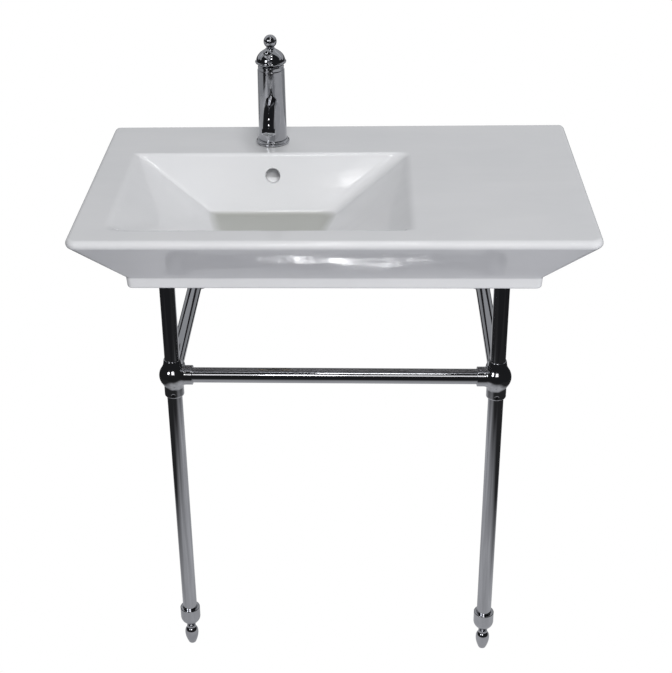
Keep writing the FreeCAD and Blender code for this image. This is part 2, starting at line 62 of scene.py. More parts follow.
# ------------------------------------------------------------------ shapes
def rounded(pts, step=14.0):
    """Closed outline of (r, h) or (r, h, radius) corners; corners with a radius become arcs."""
    n = len(pts)
    res = []
    for i in range(n):
        p = pts[i]
        x, y = p[0], p[1]
        f = p[2] if len(p) > 2 else 0.0
        if f <= 0:
            res.append((x, y))
            continue
        a = np.array(pts[i - 1][:2], float) - (x, y)
        b = np.array(pts[(i + 1) % n][:2], float) - (x, y)
        la, lb = np.linalg.norm(a), np.linalg.norm(b)
        a, b = a / la, b / lb
        ang = math.acos(max(-1.0, min(1.0, float(a @ b))))
        if ang > math.pi - 0.02:
            res.append((x, y))
            continue
        t = min(f / math.tan(ang / 2), 0.48 * la, 0.48 * lb)
        r = t * math.tan(ang / 2)
        bis = (a + b) / np.linalg.norm(a + b)
        c = np.array((x, y)) + bis * (r / math.sin(ang / 2))
        s, e = np.array((x, y)) + a * t, np.array((x, y)) + b * t
        a0 = math.atan2(*(s - c)[::-1])
        a1 = math.atan2(*(e - c)[::-1])
        d = (a1 - a0 + math.pi) % (2 * math.pi) - math.pi
        k = max(2, int(abs(math.degrees(d)) / step) + 1)
        for j in range(k + 1):
            w = a0 + d * j / k
            res.append((c[0] + r * math.cos(w), c[1] + r * math.sin(w)))
    return res


def curve_through(pts, per=6):
    """Smooth open curve through the points (centripetal spline)."""
    p = [np.array(q, float) for q in pts]
    p = [2 * p[0] - p[1]] + p + [2 * p[-1] - p[-2]]
    res = []
    for i in range(1, len(p) - 2):
        t = [0.0]
        for j in range(3):
            t.append(t[-1] + max(1e-6, float(np.linalg.norm(p[i + j] - p[i + j - 1]))) ** 0.5)
        for k in range(per):
            u = t[1] + (t[2] - t[1]) * k / per
            a1 = (t[1] - u) / (t[1] - t[0]) * p[i - 1] + (u - t[0]) / (t[1] - t[0]) * p[i]
            a2 = (t[2] - u) / (t[2] - t[1]) * p[i] + (u - t[1]) / (t[2] - t[1]) * p[i + 1]
            a3 = (t[3] - u) / (t[3] - t[2]) * p[i + 1] + (u - t[2]) / (t[3] - t[2]) * p[i + 2]
            b1 = (t[2] - u) / (t[2] - t[0]) * a1 + (u - t[0]) / (t[2] - t[0]) * a2
            b2 = (t[3] - u) / (t[3] - t[1]) * a2 + (u - t[1]) / (t[3] - t[1]) * a3
            res.append(tuple((t[2] - u) / (t[2] - t[1]) * b1 + (u - t[1]) / (t[2] - t[1]) * b2))
    res.append(tuple(p[-2]))
    return res


def basis(direction):
    z = Vector(direction).normalized()
    x = Vector((1, 0, 0))
    if abs(z.dot(x)) > 0.9:
        x = Vector((0, 1, 0))
    x = (x - z * x.dot(z)).normalized()
    return x, z.cross(x), z


def turned(outline, origin=(0, 0, 0), direction=(0, 0, 1), segs=96):
    """Vertices and faces of a closed outline turned about an axis."""
    bx, by, bz = basis(direction)
    o = Vector(origin)
    clean = []
    for q in outline:
        if not clean or abs(q[0] - clean[-1][0]) + abs(q[1] - clean[-1][1]) > 1e-5:
            clean.append((max(0.0, q[0]), q[1]))
    if abs(clean[0][0] - clean[-1][0]) + abs(clean[0][1] - clean[-1][1]) < 1e-5:
        clean.pop()
    verts, rings = [], []
    for r, h in clean:
        if r < 1e-6:
            rings.append([len(verts)])
            verts.append(o + bz * h)
        else:
            ring = []
            for k in range(segs):
                w = 2 * math.pi * k / segs
                ring.append(len(verts))
                verts.append(o + bz * h + (bx * math.cos(w) + by * math.sin(w)) * r)
            rings.append(ring)
    faces = []
    m = len(rings)
    for i in range(m):
        a, b = rings[i], rings[(i + 1) % m]
        if len(a) == 1 and len(b) == 1:
            continue
        for k in range(segs):
            k2 = (k + 1) % segs
            if len(a) == 1:
                faces.append((a[0], b[k2], b[k]))
            elif len(b) == 1:
                faces.append((a[k], a[k2], b[0]))
            else:
                faces.append((a[k], a[k2], b[k2], b[k]))
    return verts, faces


def swept(path, radii, segs=64):
    """Closed round bar along a path that lies in the YZ plane; radii may be (inner, outer) rows for an open tube."""
    path = [Vector(p) for p in path]
    verts, faces = [], []
    n = len(path)
    frames = []
    for i in range(n):
        t = (path[min(i + 1, n - 1)] - path[max(i - 1, 0)]).normalized()
        bx = Vector((1, 0, 0))
        frames.append((bx, t.cross(bx).normalized()))

    def ring(i, r):
        bx, by = frames[i]
        s = len(verts)
        for k in range(segs):
            w = 2 * math.pi * k / segs
            verts.append(path[i] + (bx * math.cos(w) + by * math.sin(w)) * r)
        return list(range(s, s + segs))

    seq = [ring(i, radii[1][i]) for i in range(n)] + [ring(i, radii[0][i]) for i in range(n - 1, -1, -1)]
    m = len(seq)
    for i in range(m):
        a, b = seq[i], seq[(i + 1) % m]
        for k in range(segs):
            k2 = (k + 1) % segs
            faces.append((a[k], a[k2], b[k2], b[k]))
    return verts, faces


def mesh_of(name, verts, faces, scale=MM):
    me = bpy.data.meshes.new(name)
    me.from_pydata([tuple(Vector(v) * scale) for v in verts], [], faces)
    bm = bmesh.new()
    bm.from_mesh(me)
    bmesh.ops.remove_doubles(bm, verts=bm.verts, dist=1e-7)
    bmesh.ops.dissolve_degenerate(bm, edges=bm.edges, dist=1e-8)
    bmesh.ops.recalc_face_normals(bm, faces=bm.faces)
    bm.to_mesh(me)
    bm.free()
    return me


def obj_of(name, me):
    o = bpy.data.objects.new(name, me)
    COLL.objects.link(o)
    return o


def smooth(o, angle=34.0, weighted=True):
    me = o.data
    me.polygons.foreach_set("use_smooth", [True] * len(me.polygons))
    me.set_sharp_from_angle(angle=math.radians(angle))
    if weighted:
        w = o.modifiers.new("even_shading", "WEIGHTED_NORMAL")
        w.keep_sharp = True
        w.weight = 60
    me.update()


def applied(o):
    """The object's mesh with its modifiers applied."""
    dg = bpy.context.evaluated_depsgraph_get()
    dg.update()
    me = bpy.data.meshes.new_from_object(o.evaluated_get(dg), preserve_all_data_layers=True, depsgraph=dg)
    o.modifiers.clear()
    old = o.data
    o.data = me
    bpy.data.meshes.remove(old)
    return o


def boolean(o, cutters, op="DIFFERENCE"):
    for c in cutters:
        m = o.modifiers.new("cut", "BOOLEAN")
        m.operation = op
        m.solver = "EXACT"
        m.object = c
        try:
            m.material_mode = "TRANSFER"
        except Exception:
            pass
        applied(o)
        old = c.data
        bpy.data.objects.remove(c)
        if old.users == 0:
            bpy.data.meshes.remove(old)
    return o


def piece(name, me, mat, body, node=None, angle=34.0, weighted=True):
    o = obj_of(name, me)
    if not o.data.materials:
        o.data.materials.append(mat)
    smooth(o, angle, weighted)
    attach(o, body)
    if node:
        for n in ([node] if isinstance(node, str) else node):
            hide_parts(n)
    return o


def cylinder(name, origin, direction, r, length, segs=64, mat=None):
    v, f = turned([(0, 0), (r, 0), (r, length), (0, length)], origin, direction, segs)
    o = obj_of(name, mesh_of(name, v, f))
    if mat:
        o.data.materials.append(mat)
    return o


def hull_faces(name, faces, mat=None, bevel=0.0, segs=3):
    """Polyhedron from lists of corner points."""
    idx, verts, fs = {}, [], []
    for f in faces:
        row = []
        for p in f:
            k = tuple(round(c, 5) for c in p)
            if k not in idx:
                idx[k] = len(verts)
                verts.append(k)
            row.append(idx[k])
        fs.append(row)
    me = mesh_of(name, verts, fs)
    if bevel:
        bm = bmesh.new()
        bm.from_mesh(me)
        bmesh.ops.bevel(bm, geom=list(bm.edges), offset=bevel * MM, segments=segs, profile=0.5, affect="EDGES", clamp_overlap=True)
        bmesh.ops.recalc_face_normals(bm, faces=bm.faces)
        bm.to_mesh(me)
        bm.free()
    o = obj_of(name, me)
    if mat:
        o.data.materials.append(mat)
    return o


def level_surface(f, lo, hi, step):
    """Closed quad mesh of f = 0 (f negative inside) over a box, by dual cells, then drawn onto the surface."""
    n = [int(math.ceil((hi[i] - lo[i]) / step)) + 1 for i in range(3)]
    ax = [lo[i] + step * np.arange(n[i]) for i in range(3)]
    X, Y, Z = np.meshgrid(*ax, indexing="ij")
    F = f(X, Y, Z)
    inside = F < 0
    c = inside[:-1, :-1, :-1].astype(int)
    tot = sum(inside[i:n[0] - 1 + i, j:n[1] - 1 + j, k:n[2] - 1 + k].astype(int) for i in (0, 1) for j in (0, 1) for k in (0, 1))
    active = (tot > 0) & (tot < 8)
    ids = -np.ones(active.shape, int)
    ids[active] = np.arange(active.sum())
    ci = np.argwhere(active)
    pos = np.zeros((len(ci), 3))
    cnt = np.zeros(len(ci))
    corners = [(i, j, k) for i in (0, 1) for j in (0, 1) for k in (0, 1)]
    for a in corners:
        for d in range(3):
            if a[d]:
                continue
            b = list(a)
            b[d] = 1
            fa = F[ci[:, 0] + a[0], ci[:, 1] + a[1], ci[:, 2] + a[2]]
            fb = F[ci[:, 0] + b[0], ci[:, 1] + b[1], ci[:, 2] + b[2]]
            hit = (fa < 0) != (fb < 0)
            t = np.where(hit, fa / np.where(fa - fb == 0, 1, fa - fb), 0)
            p = np.array(a, float)[None, :].repeat(len(ci), 0)
            p[:, d] += t
            pos[hit] += p[hit]
            cnt[hit] += 1
    pos = (ci + pos / cnt[:, None]) * step + np.array(lo)
    e = step * 0.02
    for _ in range(6):
        v = f(pos[:, 0], pos[:, 1], pos[:, 2])
        g = np.stack([(f(pos[:, 0] + e * (d == 0), pos[:, 1] + e * (d == 1), pos[:, 2] + e * (d == 2)) - v) / e for d in range(3)], 1)
        s = -v / np.maximum(0.25, (g * g).sum(1))
        mv = g * s[:, None]
        ln = np.linalg.norm(mv, axis=1)
        mv *= np.minimum(1, step * 0.4 / np.maximum(ln, 1e-9))[:, None]
        pos = pos + mv
    faces = []
    for d in range(3):
        u, w = [q for q in range(3) if q != d]
        s0 = [slice(None)] * 3
        s1 = [slice(None)] * 3
        s0[d], s1[d] = slice(0, n[d] - 1), slice(1, n[d])
        change = inside[tuple(s0)] != inside[tuple(s1)]
        e_idx = np.argwhere(change)
        e_idx = e_idx[(e_idx[:, u] > 0) & (e_idx[:, w] > 0) & (e_idx[:, u] < n[u] - 1) & (e_idx[:, w] < n[w] - 1)]
        q = []
        for du, dw in ((-1, -1), (0, -1), (0, 0), (-1, 0)):
            k = e_idx.copy()
            k[:, u] += du
            k[:, w] += dw
            q.append(ids[k[:, 0], k[:, 1], k[:, 2]])
        q = np.stack(q, 1)
        faces += [tuple(int(z) for z in r) for r in q if min(r) >= 0]
    return pos, faces


# ------------------------------------------------------------------ materials
def material(name):
    m = bpy.data.materials.new(name)
    m.use_nodes = True
    nt = m.node_tree
    nt.nodes.clear()
    out = nt.nodes.new("ShaderNodeOutputMaterial")
    b = nt.nodes.new("ShaderNodeBsdfPrincipled")
    nt.links.new(b.outputs[0], out.inputs[0])
    return m, nt, b


def noise(nt, scale, detail=3.0, rough=0.5, stretch=None):
    co = nt.nodes.new("ShaderNodeTexCoord")
    mp = nt.nodes.new("ShaderNodeMapping")
    if stretch:
        mp.inputs["Scale"].default_value = stretch
    nt.links.new(co.outputs["Object"], mp.inputs[0])
    n = nt.nodes.new("ShaderNodeTexNoise")
    n.inputs["Scale"].default_value = scale
    n.inputs["Detail"].default_value = detail
    n.inputs["Roughness"].default_value = rough
    nt.links.new(mp.outputs[0], n.inputs["Vector"])
    return n


def ramp(nt, src, stops):
    r = nt.nodes.new("ShaderNodeValToRGB")
    el = r.color_ramp.elements
    while len(el) < len(stops):
        el.new(0.5)
    for e, (p, c) in zip(el, stops):
        e.position = p
        e.color = (*c, 1) if len(c) == 3 else c
    nt.links.new(src, r.inputs[0])
    return r


def spread(nt, src, lo, hi, a=0.3, b=0.7):
    m = nt.nodes.new("ShaderNodeMapRange")
    m.inputs["From Min"].default_value = a
    m.inputs["From Max"].default_value = b
    m.inputs["To Min"].default_value = lo
    m.inputs["To Max"].default_value = hi
    nt.links.new(src, m.inputs["Value"])
    return m


def bumped(nt, b, layers):
    """layers: (height output, distance in metres)."""
    prev = None
    for src, dist in layers:
        bp = nt.nodes.new("ShaderNodeBump")
        bp.inputs["Strength"].default_value = 1.0
        bp.inputs["Distance"].default_value = dist
        nt.links.new(src, bp.inputs["Height"])
        if prev is not None:
            nt.links.new(prev.outputs[0], bp.inputs["Normal"])
        prev = bp
    nt.links.new(prev.outputs[0], b.inputs["Normal"])


def glaze():
    m, nt, b = material("ceramic_glaze_white")
    n1 = noise(nt, 7.0, 4.0)
    c = ramp(nt, n1.outputs[0], [(0.3, (0.675, 0.685, 0.700)), (0.7, (0.705, 0.712, 0.725))])
    # painted shade: the bowl's floor gets a darker, slightly green base colour that stands in for the shade falling in
    # the bottom of the bowl
    co = nt.nodes.new("ShaderNodeTexCoord")
    sp = nt.nodes.new("ShaderNodeSeparateXYZ")
    nt.links.new(co.outputs["Object"], sp.inputs[0])
    low = spread(nt, sp.outputs[2], 1.0, 0.0, 0.7706, 0.7765)
    inside = spread(nt, sp.outputs[1], 0.0, 1.0, -0.150, -0.140)
    floor_shade_mask = nt.nodes.new("ShaderNodeMath")
    floor_shade_mask.operation = "MULTIPLY"
    nt.links.new(low.outputs[0], floor_shade_mask.inputs[0])
    nt.links.new(inside.outputs[0], floor_shade_mask.inputs[1])
    mix = nt.nodes.new("ShaderNodeMix")
    mix.data_type = "RGBA"
    nt.links.new(floor_shade_mask.outputs[0], mix.inputs[0])
    nt.links.new(c.outputs[0], mix.inputs[6])
    # colour of the painted shade on the bowl's floor
    mix.inputs[7].default_value = (0.40, 0.41, 0.385, 1)
    nt.links.new(mix.outputs[2], b.inputs["Base Color"])
    n2 = noise(nt, 30.0, 3.0)
    r = spread(nt, n2.outputs[0], 0.05, 0.11)
    nt.links.new(r.outputs[0], b.inputs["Roughness"])
    b.inputs["IOR"].default_value = 1.52
    b.inputs["Specular IOR Level"].default_value = 0.5
    wave = noise(nt, 22.0, 2.0, 0.4, (0.35, 1.0, 1.0))
    peel = noise(nt, 260.0, 2.0)
    bumped(nt, b, [(wave.outputs[0], 0.00055), (peel.outputs[0], 0.000016)])
    return m


def bisque():
    m, nt, b = material("ceramic_unglazed")
    n1 = noise(nt, 40.0, 6.0)
    c = ramp(nt, n1.outputs[0], [(0.3, (0.50, 0.487, 0.46)), (0.7, (0.60, 0.588, 0.56))])
    nt.links.new(c.outputs[0], b.inputs["Base Color"])
    b.inputs["Roughness"].default_value = 0.62
    g = noise(nt, 700.0, 3.0)
    bumped(nt, b, [(n1.outputs[0], 0.0006), (g.outputs[0], 0.00008)])
    return m


def chrome(name, tint=(0.54, 0.545, 0.57), rough=(0.035, 0.09), stretch=None, peel=0.000012, streak=0.0):
    m, nt, b = material(name)
    b.inputs["Metallic"].default_value = 1.0
    n1 = noise(nt, 55.0, 5.0, 0.6, stretch)
    d = tuple(v * 0.93 for v in tint)
    c = ramp(nt, n1.outputs[0], [(0.35, d), (0.65, tint)])
    nt.links.new(c.outputs[0], b.inputs["Base Color"])
    n2 = noise(nt, 420.0, 4.0, 0.6, stretch)
    r = spread(nt, n2.outputs[0], rough[0], rough[1])
    nt.links.new(r.outputs[0], b.inputs["Roughness"])
    n3 = noise(nt, 330.0, 2.0, 0.5, stretch)
    layers = [(n3.outputs[0], peel)]
    if streak:
        n4 = noise(nt, 120.0, 3.0, 0.5, stretch)
        layers.append((n4.outputs[0], streak))
    bumped(nt, b, layers)
    return m


def brass():
    m, nt, b = material("raw_brass")
    b.inputs["Metallic"].default_value = 1.0
    n1 = noise(nt, 90.0, 6.0)
    c = ramp(nt, n1.outputs[0], [(0.3, (0.52, 0.36, 0.14)), (0.7, (0.70, 0.52, 0.24))])
    nt.links.new(c.outputs[0], b.inputs["Base Color"])
    r = spread(nt, n1.outputs[0], 0.22, 0.42)
    nt.links.new(r.outputs[0], b.inputs["Roughness"])
    t = noise(nt, 900.0, 2.0, 0.5, (1, 1, 6))
    bumped(nt, b, [(t.outputs[0], 0.00003)])
    return m


def steel(name="zinc_steel", base=(0.50, 0.51, 0.53), rough=(0.24, 0.42)):
    m, nt, b = material(name)
    b.inputs["Metallic"].default_value = 1.0
    n1 = noise(nt, 140.0, 6.0, 0.65)
    c = ramp(nt, n1.outputs[0], [(0.3, tuple(v * 0.8 for v in base)), (0.7, base)])
    nt.links.new(c.outputs[0], b.inputs["Base Color"])
    r = spread(nt, n1.outputs[0], rough[0], rough[1])
    nt.links.new(r.outputs[0], b.inputs["Roughness"])
    bumped(nt, b, [(n1.outputs[0], 0.00004)])
    return m


def rubber():
    m, nt, b = material("black_rubber")
    n1 = noise(nt, 200.0, 5.0)
    c = ramp(nt, n1.outputs[0], [(0.3, (0.013, 0.013, 0.014)), (0.7, (0.028, 0.028, 0.03))])
    nt.links.new(c.outputs[0], b.inputs["Base Color"])
    b.inputs["Roughness"].default_value = 0.66
    b.inputs["Sheen Weight"].default_value = 0.15
    bumped(nt, b, [(n1.outputs[0], 0.00006)])
    return m


def plastic():
    m, nt, b = material("white_plastic")
    n1 = noise(nt, 120.0, 4.0)
    c = ramp(nt, n1.outputs[0], [(0.3, (0.62, 0.63, 0.64)), (0.7, (0.70, 0.71, 0.72))])
    nt.links.new(c.outputs[0], b.inputs["Base Color"])
    r = spread(nt, n1.outputs[0], 0.32, 0.45)
    nt.links.new(r.outputs[0], b.inputs["Roughness"])
    b.inputs["Subsurface Weight"].default_value = 0.05
    bumped(nt, b, [(n1.outputs[0], 0.00003)])
    return m


M_GLAZE = glaze()
M_BISQUE = bisque()
M_CHROME = chrome("polished_chrome")
M_TUBE = chrome("chrome_tube_upright", stretch=(1.0, 1.0, 0.05), streak=0.00003)
M_TUBE_X = chrome("chrome_tube_cross", stretch=(0.05, 1.0, 1.0), streak=0.00003)
M_TUBE_Y = chrome("chrome_tube_arm", stretch=(1.0, 0.05, 1.0), streak=0.00003)
M_BODY = chrome("chrome_tap_body", rough=(0.05, 0.13), peel=0.00003)
M_CAST = chrome("chrome_cast", rough=(0.05, 0.12), peel=0.00002)
M_BRASS = brass()
M_STEEL = steel()
M_DARK = steel("dark_screw_steel", (0.10, 0.10, 0.105), (0.3, 0.5))
M_RUBBER = rubber()
M_PLASTIC = plastic()

# ------------------------------------------------------------------ basin
BASIN_W, BASIN_D, DECK_Z, EDGE_R = 800.0, 500.0, 870.0, 8.0
BAND_TOP_Z, BAND_BOTTOM_Z = 773.0, 754.0
BAND_INSET_X, BAND_INSET_Y, DRAFT = 75.0, 77.0, 1.2
WALL_T, DECK_T, BACK_T = 11.0, 12.0, 14.0
X0, X1, Y0, Y1 = -342.0, 122.0, -204.0, 113.0
FLOOR_Z, FLOOR_XC = 770.0, -108.0
FYB, FHB, FYF, FHF = 83.0, 103.0, -112.0, 60.0
DRAIN = (-108.0, -45.0)
LEG_X, LEG_Y = 267.0, -130.0
TAP = (-110.0, 168.0)
HW, HD = BASIN_W / 2, BASIN_D / 2


def overhang(inset, drop, r):
    e = r
    for _ in range(60):
        e = r / math.tan(math.atan2(drop, inset + e) / 2) - r
    return e


DROP = DECK_Z - BAND_TOP_Z
EX, EY = overhang(BAND_INSET_X, DROP, EDGE_R), overhang(BAND_INSET_Y, DROP, EDGE_R)
TX, TY = HW + EX, HD + EY
BX, BY = HW - BAND_INSET_X, HD - BAND_INSET_Y


def plane_through(p, q, r):
    """Height plane z = a x + b y + c."""
    m = np.array([[p[0], p[1], 1], [q[0], q[1], 1], [r[0], r[1], 1]], float)
    return np.linalg.solve(m, np.array([p[2], q[2], r[2]], float))


MBL, MBR, MFR, MFL = (X0, Y1, DECK_Z), (X1, Y1, DECK_Z), (X1, Y0, DECK_Z), (X0, Y0, DECK_Z)
FBL, FBR = (FLOOR_XC - FHB, FYB, FLOOR_Z), (FLOOR_XC + FHB, FYB, FLOOR_Z)
FFR, FFL = (FLOOR_XC + FHF, FYF, FLOOR_Z), (FLOOR_XC - FHF, FYF, FLOOR_Z)
PL1, PL2 = plane_through(MFL, MBL, FBL), plane_through(MFL, FBL, FFL)
PR1, PR2 = plane_through(MBR, MFR, FBR), plane_through(MFR, FFR, FBR)
PB, PF = plane_through(MBL, MBR, FBR), plane_through(MFR, MFL, FFL)


def smin(a, b, k):
    h = np.maximum(k - np.abs(a - b), 0.0) / k
    return np.minimum(a, b) - h * h * k / 4


def smax(a, b, k):
    return -smin(-a, -b, k)


def bowl_field(x, y, z):
    """Positive in the open air, above the deck or in the bowl."""
    def d(p):
        return (z - (p[0] * x + p[1] * y + p[2])) / math.sqrt(1 + p[0] ** 2 + p[1] ** 2)
    left = smin(d(PL1), d(PL2), 3.0)
    right = smin(d(PR1), d(PR2), 3.0)
    r = np.hypot(x - DRAIN[0], y - DRAIN[1])
    t = np.clip((59.0 - r) / 25.0, 0, 1)
    floor = z - (FLOOR_Z - 4.0 * t * t * (3 - 2 * t))
    v = smin(left, d(PB), 5.0)
    v = smin(v, smin(right, d(PF), 10.0), 16.0)
    v = smin(v, floor, 7.0)
    return smax(z - DECK_Z, v, 4.5)


def bowl_heights(x, y):
    lo = np.full(x.shape, 740.0)
    hi = np.full(x.shape, DECK_Z + 5.0)
    for _ in range(44):
        mid = (lo + hi) / 2
        up = bowl_field(x, y, mid) > 0
        hi = np.where(up, mid, hi)
        lo = np.where(up, lo, mid)
    return (lo + hi) / 2


def lines(*spans):
    """Grid lines: (start, end, step) runs joined."""
    res = []
    for a, b, s in spans:
        n = max(1, int(round((b - a) / s)))
        res += [a + (b - a) * k / n for k in range(n)]
    res.append(spans[-1][1])
    return np.array(res)


def ring_points(xr, yf, yb, zr, zf, zb, rf, rb, nc=10, ns=(30, 20, 30, 20)):
    """One closed ring: front edge y = -yf, back edge y = yb, sides x = +-xr; heights for sides, front and back."""
    pts = []
    # (corner centre, start angle, z at start side, z at end side, radius)
    def corner(cx, cy, r, a0, z0, z1):
        for k in range(nc + 1):
            w = math.radians(a0 + 90 * k / nc)
            s = k / nc
            s = s * s * (3 - 2 * s)
            pts.append((cx + r * math.cos(w), cy + r * math.sin(w), z0 + (z1 - z0) * s))

    def run(n):
        a = pts[-1]
        return a, n

    def line_to(b, n):
        a = pts[-1]
        for k in range(1, n):
            pts.append(tuple(a[i] + (b[i] - a[i]) * k / n for i in range(3)))

    corner(-xr + rf, -yf + rf, rf, 180, zr, zf)
    line_to((xr - rf, -yf, zf), ns[0])
    corner(xr - rf, -yf + rf, rf, 270, zf, zr)
    line_to((xr, yb - rb, zr), ns[1])
    corner(xr - rb, yb - rb, rb, 0, zr, zb)
    line_to((-xr + rb, yb, zb), ns[2])
    corner(-xr + rb, yb - rb, rb, 90, zb, zr)
    line_to((-xr, -yf + rf, zr), ns[3])
    return pts


def outer_rings():
    rings = []
    drop_s, drop_f = DROP, DROP
    beta_s = math.pi / 2 + math.atan2(BAND_INSET_X + EX, drop_s)
    beta_f = math.pi / 2 + math.atan2(BAND_INSET_Y + EY, drop_f)
    RC, RCB = 19.0, 11.0          # plan rounding at the rim, front and back
    R = EDGE_R
    n = 12
    for k in range(n + 1):
        t = k / n
        s, f, b = t * beta_s, t * beta_f, t * math.pi / 2
        rings.append(ring_points(HW - R + R * math.sin(s), HD - R + R * math.sin(f), HD - R + R * math.sin(b),
                                 DECK_Z - R + R * math.cos(s), DECK_Z - R + R * math.cos(f), DECK_Z - R + R * math.cos(b),
                                 RC - R + R * math.sin(t * (beta_f + beta_s) / 2), RCB - R + R * math.sin(b)))
    # ends of the rounded nose
    xs, zs = HW - R + R * math.sin(beta_s), DECK_Z - R + R * math.cos(beta_s)
    yf, zf = HD - R + R * math.sin(beta_f), DECK_Z - R + R * math.cos(beta_f)
    rc0 = RC - R + R * math.sin((beta_f + beta_s) / 2)
    # concave rounding between skirt and band
    Q = 5.0
    th_s, th_f = beta_s - math.pi / 2, beta_f - math.pi / 2
    tan_s, tan_f = Q * math.tan(th_s / 2), Q * math.tan(th_f / 2)
    xe, ze = BX + tan_s * math.sin(th_s), BAND_TOP_Z + tan_s * math.cos(th_s)
    ye, zfe = BY + tan_f * math.sin(th_f), BAND_TOP_Z + tan_f * math.cos(th_f)
    zb0 = DECK_Z - R
    RB1 = 9.0
    for k in range(1, 9):
        t = k / 8
        rings.append(ring_points(xs + (xe - xs) * t, yf + (ye - yf) * t, HD, zs + (ze - zs) * t, zf + (zfe - zf) * t,
                                 zb0 + (BAND_TOP_Z + 2 - zb0) * t, rc0 + (RB1 - rc0) * t, RCB + (4.0 - RCB) * t))
    for k in range(1, 5):
        t = k / 4
        a, c = th_s * (1 - t), th_f * (1 - t)
        # arc of radius Q, centre outside the ceramic
        xx = BX + Q - Q * math.cos(a)
        yy = BY + Q - Q * math.cos(c)
        zz = BAND_TOP_Z - tan_s + Q * math.sin(a)
        zy = BAND_TOP_Z - tan_f + Q * math.sin(c)
        rings.append(ring_points(xx, yy, HD, zz, zy, BAND_TOP_Z + 2 - 3.5 * t, RB1 - 0.5 * t, 4.0))
    zt = BAND_TOP_Z - max(tan_s, tan_f)
    G = 4.0
    zl = BAND_BOTTOM_Z + G
    for t in (0.5, 1.0):
        z = zt + (zl - zt) * t
        dr = DRAFT * (BAND_TOP_Z - z) / (BAND_TOP_Z - BAND_BOTTOM_Z)
        rings.append(ring_points(BX - dr, BY - dr, HD, z, z, z, RB1 - 0.5, 4.0))
    dr = DRAFT * (BAND_TOP_Z - zl) / (BAND_TOP_Z - BAND_BOTTOM_Z)
    for k in range(1, 7):
        w = math.pi / 2 * k / 6
        o = G * (1 - math.cos(w))
        z = zl - G * math.sin(w)
        rings.append(ring_points(BX - dr - o, BY - dr - o, HD - o, z, z, z, max(1.0, RB1 - 0.5 - o * 0.8), max(0.6, 4.0 - o * 0.8)))
    return rings


def basin_solid():
    """Closed upper body: bowl, deck, rim, skirt, band and a flat foot."""
    bm = bmesh.new()
    gx = lines((-372, -352, 5), (-352, -334, 1.6), (-334, -228, 4.5), (-228, -196, 2.5), (-196, -26, 4.5), (-26, 12, 2.5), (12, 112, 4.0), (112, 131, 1.6), (131, 148, 5))
    gy = lines((-226, -212, 4), (-212, -196, 1.5), (-196, -122, 4.0), (-122, -100, 2.5), (-100, 70, 4.5), (70, 90, 1.0), (90, 108, 1.2), (108, 120, 0.8), (120, 132, 4))
    GX, GY = np.meshgrid(gx, gy, indexing="ij")
    GZ = bowl_heights(GX, GY)
    GZ[0, :] = GZ[-1, :] = DECK_Z
    GZ[:, 0] = GZ[:, -1] = DECK_Z
    GZ = np.minimum(GZ, DECK_Z)
    vs = [[bm.verts.new((GX[i, j] * MM, GY[i, j] * MM, GZ[i, j] * MM)) for j in range(len(gy))] for i in range(len(gx))]
    for i in range(len(gx) - 1):
        for j in range(len(gy) - 1):
            bm.faces.new((vs[i][j], vs[i + 1][j], vs[i + 1][j + 1], vs[i][j + 1]))
    inner = [vs[i][0] for i in range(len(gx))] + [vs[-1][j] for j in range(1, len(gy))] + [vs[i][-1] for i in range(len(gx) - 2, -1, -1)] + [vs[0][j] for j in range(len(gy) - 2, 0, -1)]
    rings = outer_rings()
    rv = [[bm.verts.new((p[0] * MM, p[1] * MM, p[2] * MM)) for p in ring] for ring in rings]
    n = len(rv[0])
    for a, b in zip(rv, rv[1:]):
        for k in range(n):
            k2 = (k + 1) % n
            bm.faces.new((a[k], b[k], b[k2], a[k2]))
    bm.faces.new(rv[-1])
    outer = rv[0]
    edges = []
    for loop in (inner, outer):
        for k in range(len(loop)):
            e = bm.edges.get((loop[k], loop[(k + 1) % len(loop)]))
            edges.append(e)
    bmesh.ops.triangle_fill(bm, use_beauty=True, use_dissolve=False, edges=edges)
    bmesh.ops.recalc_face_normals(bm, faces=bm.faces)
    me = bpy.data.meshes.new("basin")
    bm.to_mesh(me)
    bm.free()
    return me


def skirted(tx, tyf, ztop, bx, byf, zband, zbot, yback, draft=0.0):
    a = [(-tx, -tyf, ztop), (tx, -tyf, ztop), (tx, yback, ztop), (-tx, yback, ztop)]
    b = [(-bx, -byf, zband), (bx, -byf, zband), (bx, yback, zband), (-bx, yback, zband)]
    c = [(-bx + draft, -byf + draft, zbot), (bx - draft, -byf + draft, zbot), (bx - draft, yback, zbot), (-bx + draft, yback, zbot)]
    return [a, c[::-1], [a[0], b[0], b[1], a[1]], [b[0], c[0], c[1], b[1]], [a[1], b[1], b[2], a[2]], [b[1], c[1], c[2], b[2]],
            [a[3], a[0], b[0], b[3]], [b[3], b[0], c[0], c[3]], [a[2], b[2], c[2], c[3], b[3], a[3]]]


def bowl_poly(x0, x1, y0, y1, ztop, zf, xc, yb, hb, yf, hf, up):
    BL, BR, FR, FL = (x0, y1, ztop), (x1, y1, ztop), (x1, y0, ztop), (x0, y0, ztop)
    fbl, fbr, ffr, ffl = (xc - hb, yb, zf), (xc + hb, yb, zf), (xc + hf, yf, zf), (xc - hf, yf, zf)
    uBL, uBR, uFR, uFL = [(q[0], q[1], ztop + up) for q in (BL, BR, FR, FL)]
    return [[BL, BR, fbr, fbl], [FL, BL, fbl], [FL, fbl, ffl], [BR, FR, fbr], [FR, ffr, fbr], [FR, FL, ffl, ffr], [fbl, fbr, ffr, ffl],
            [uBL, uFL, uFR, uBR], [BL, uBL, uBR, BR], [BR, uBR, uFR, FR], [FR, uFR, uFL, FL], [FL, uFL, uBL, BL]]


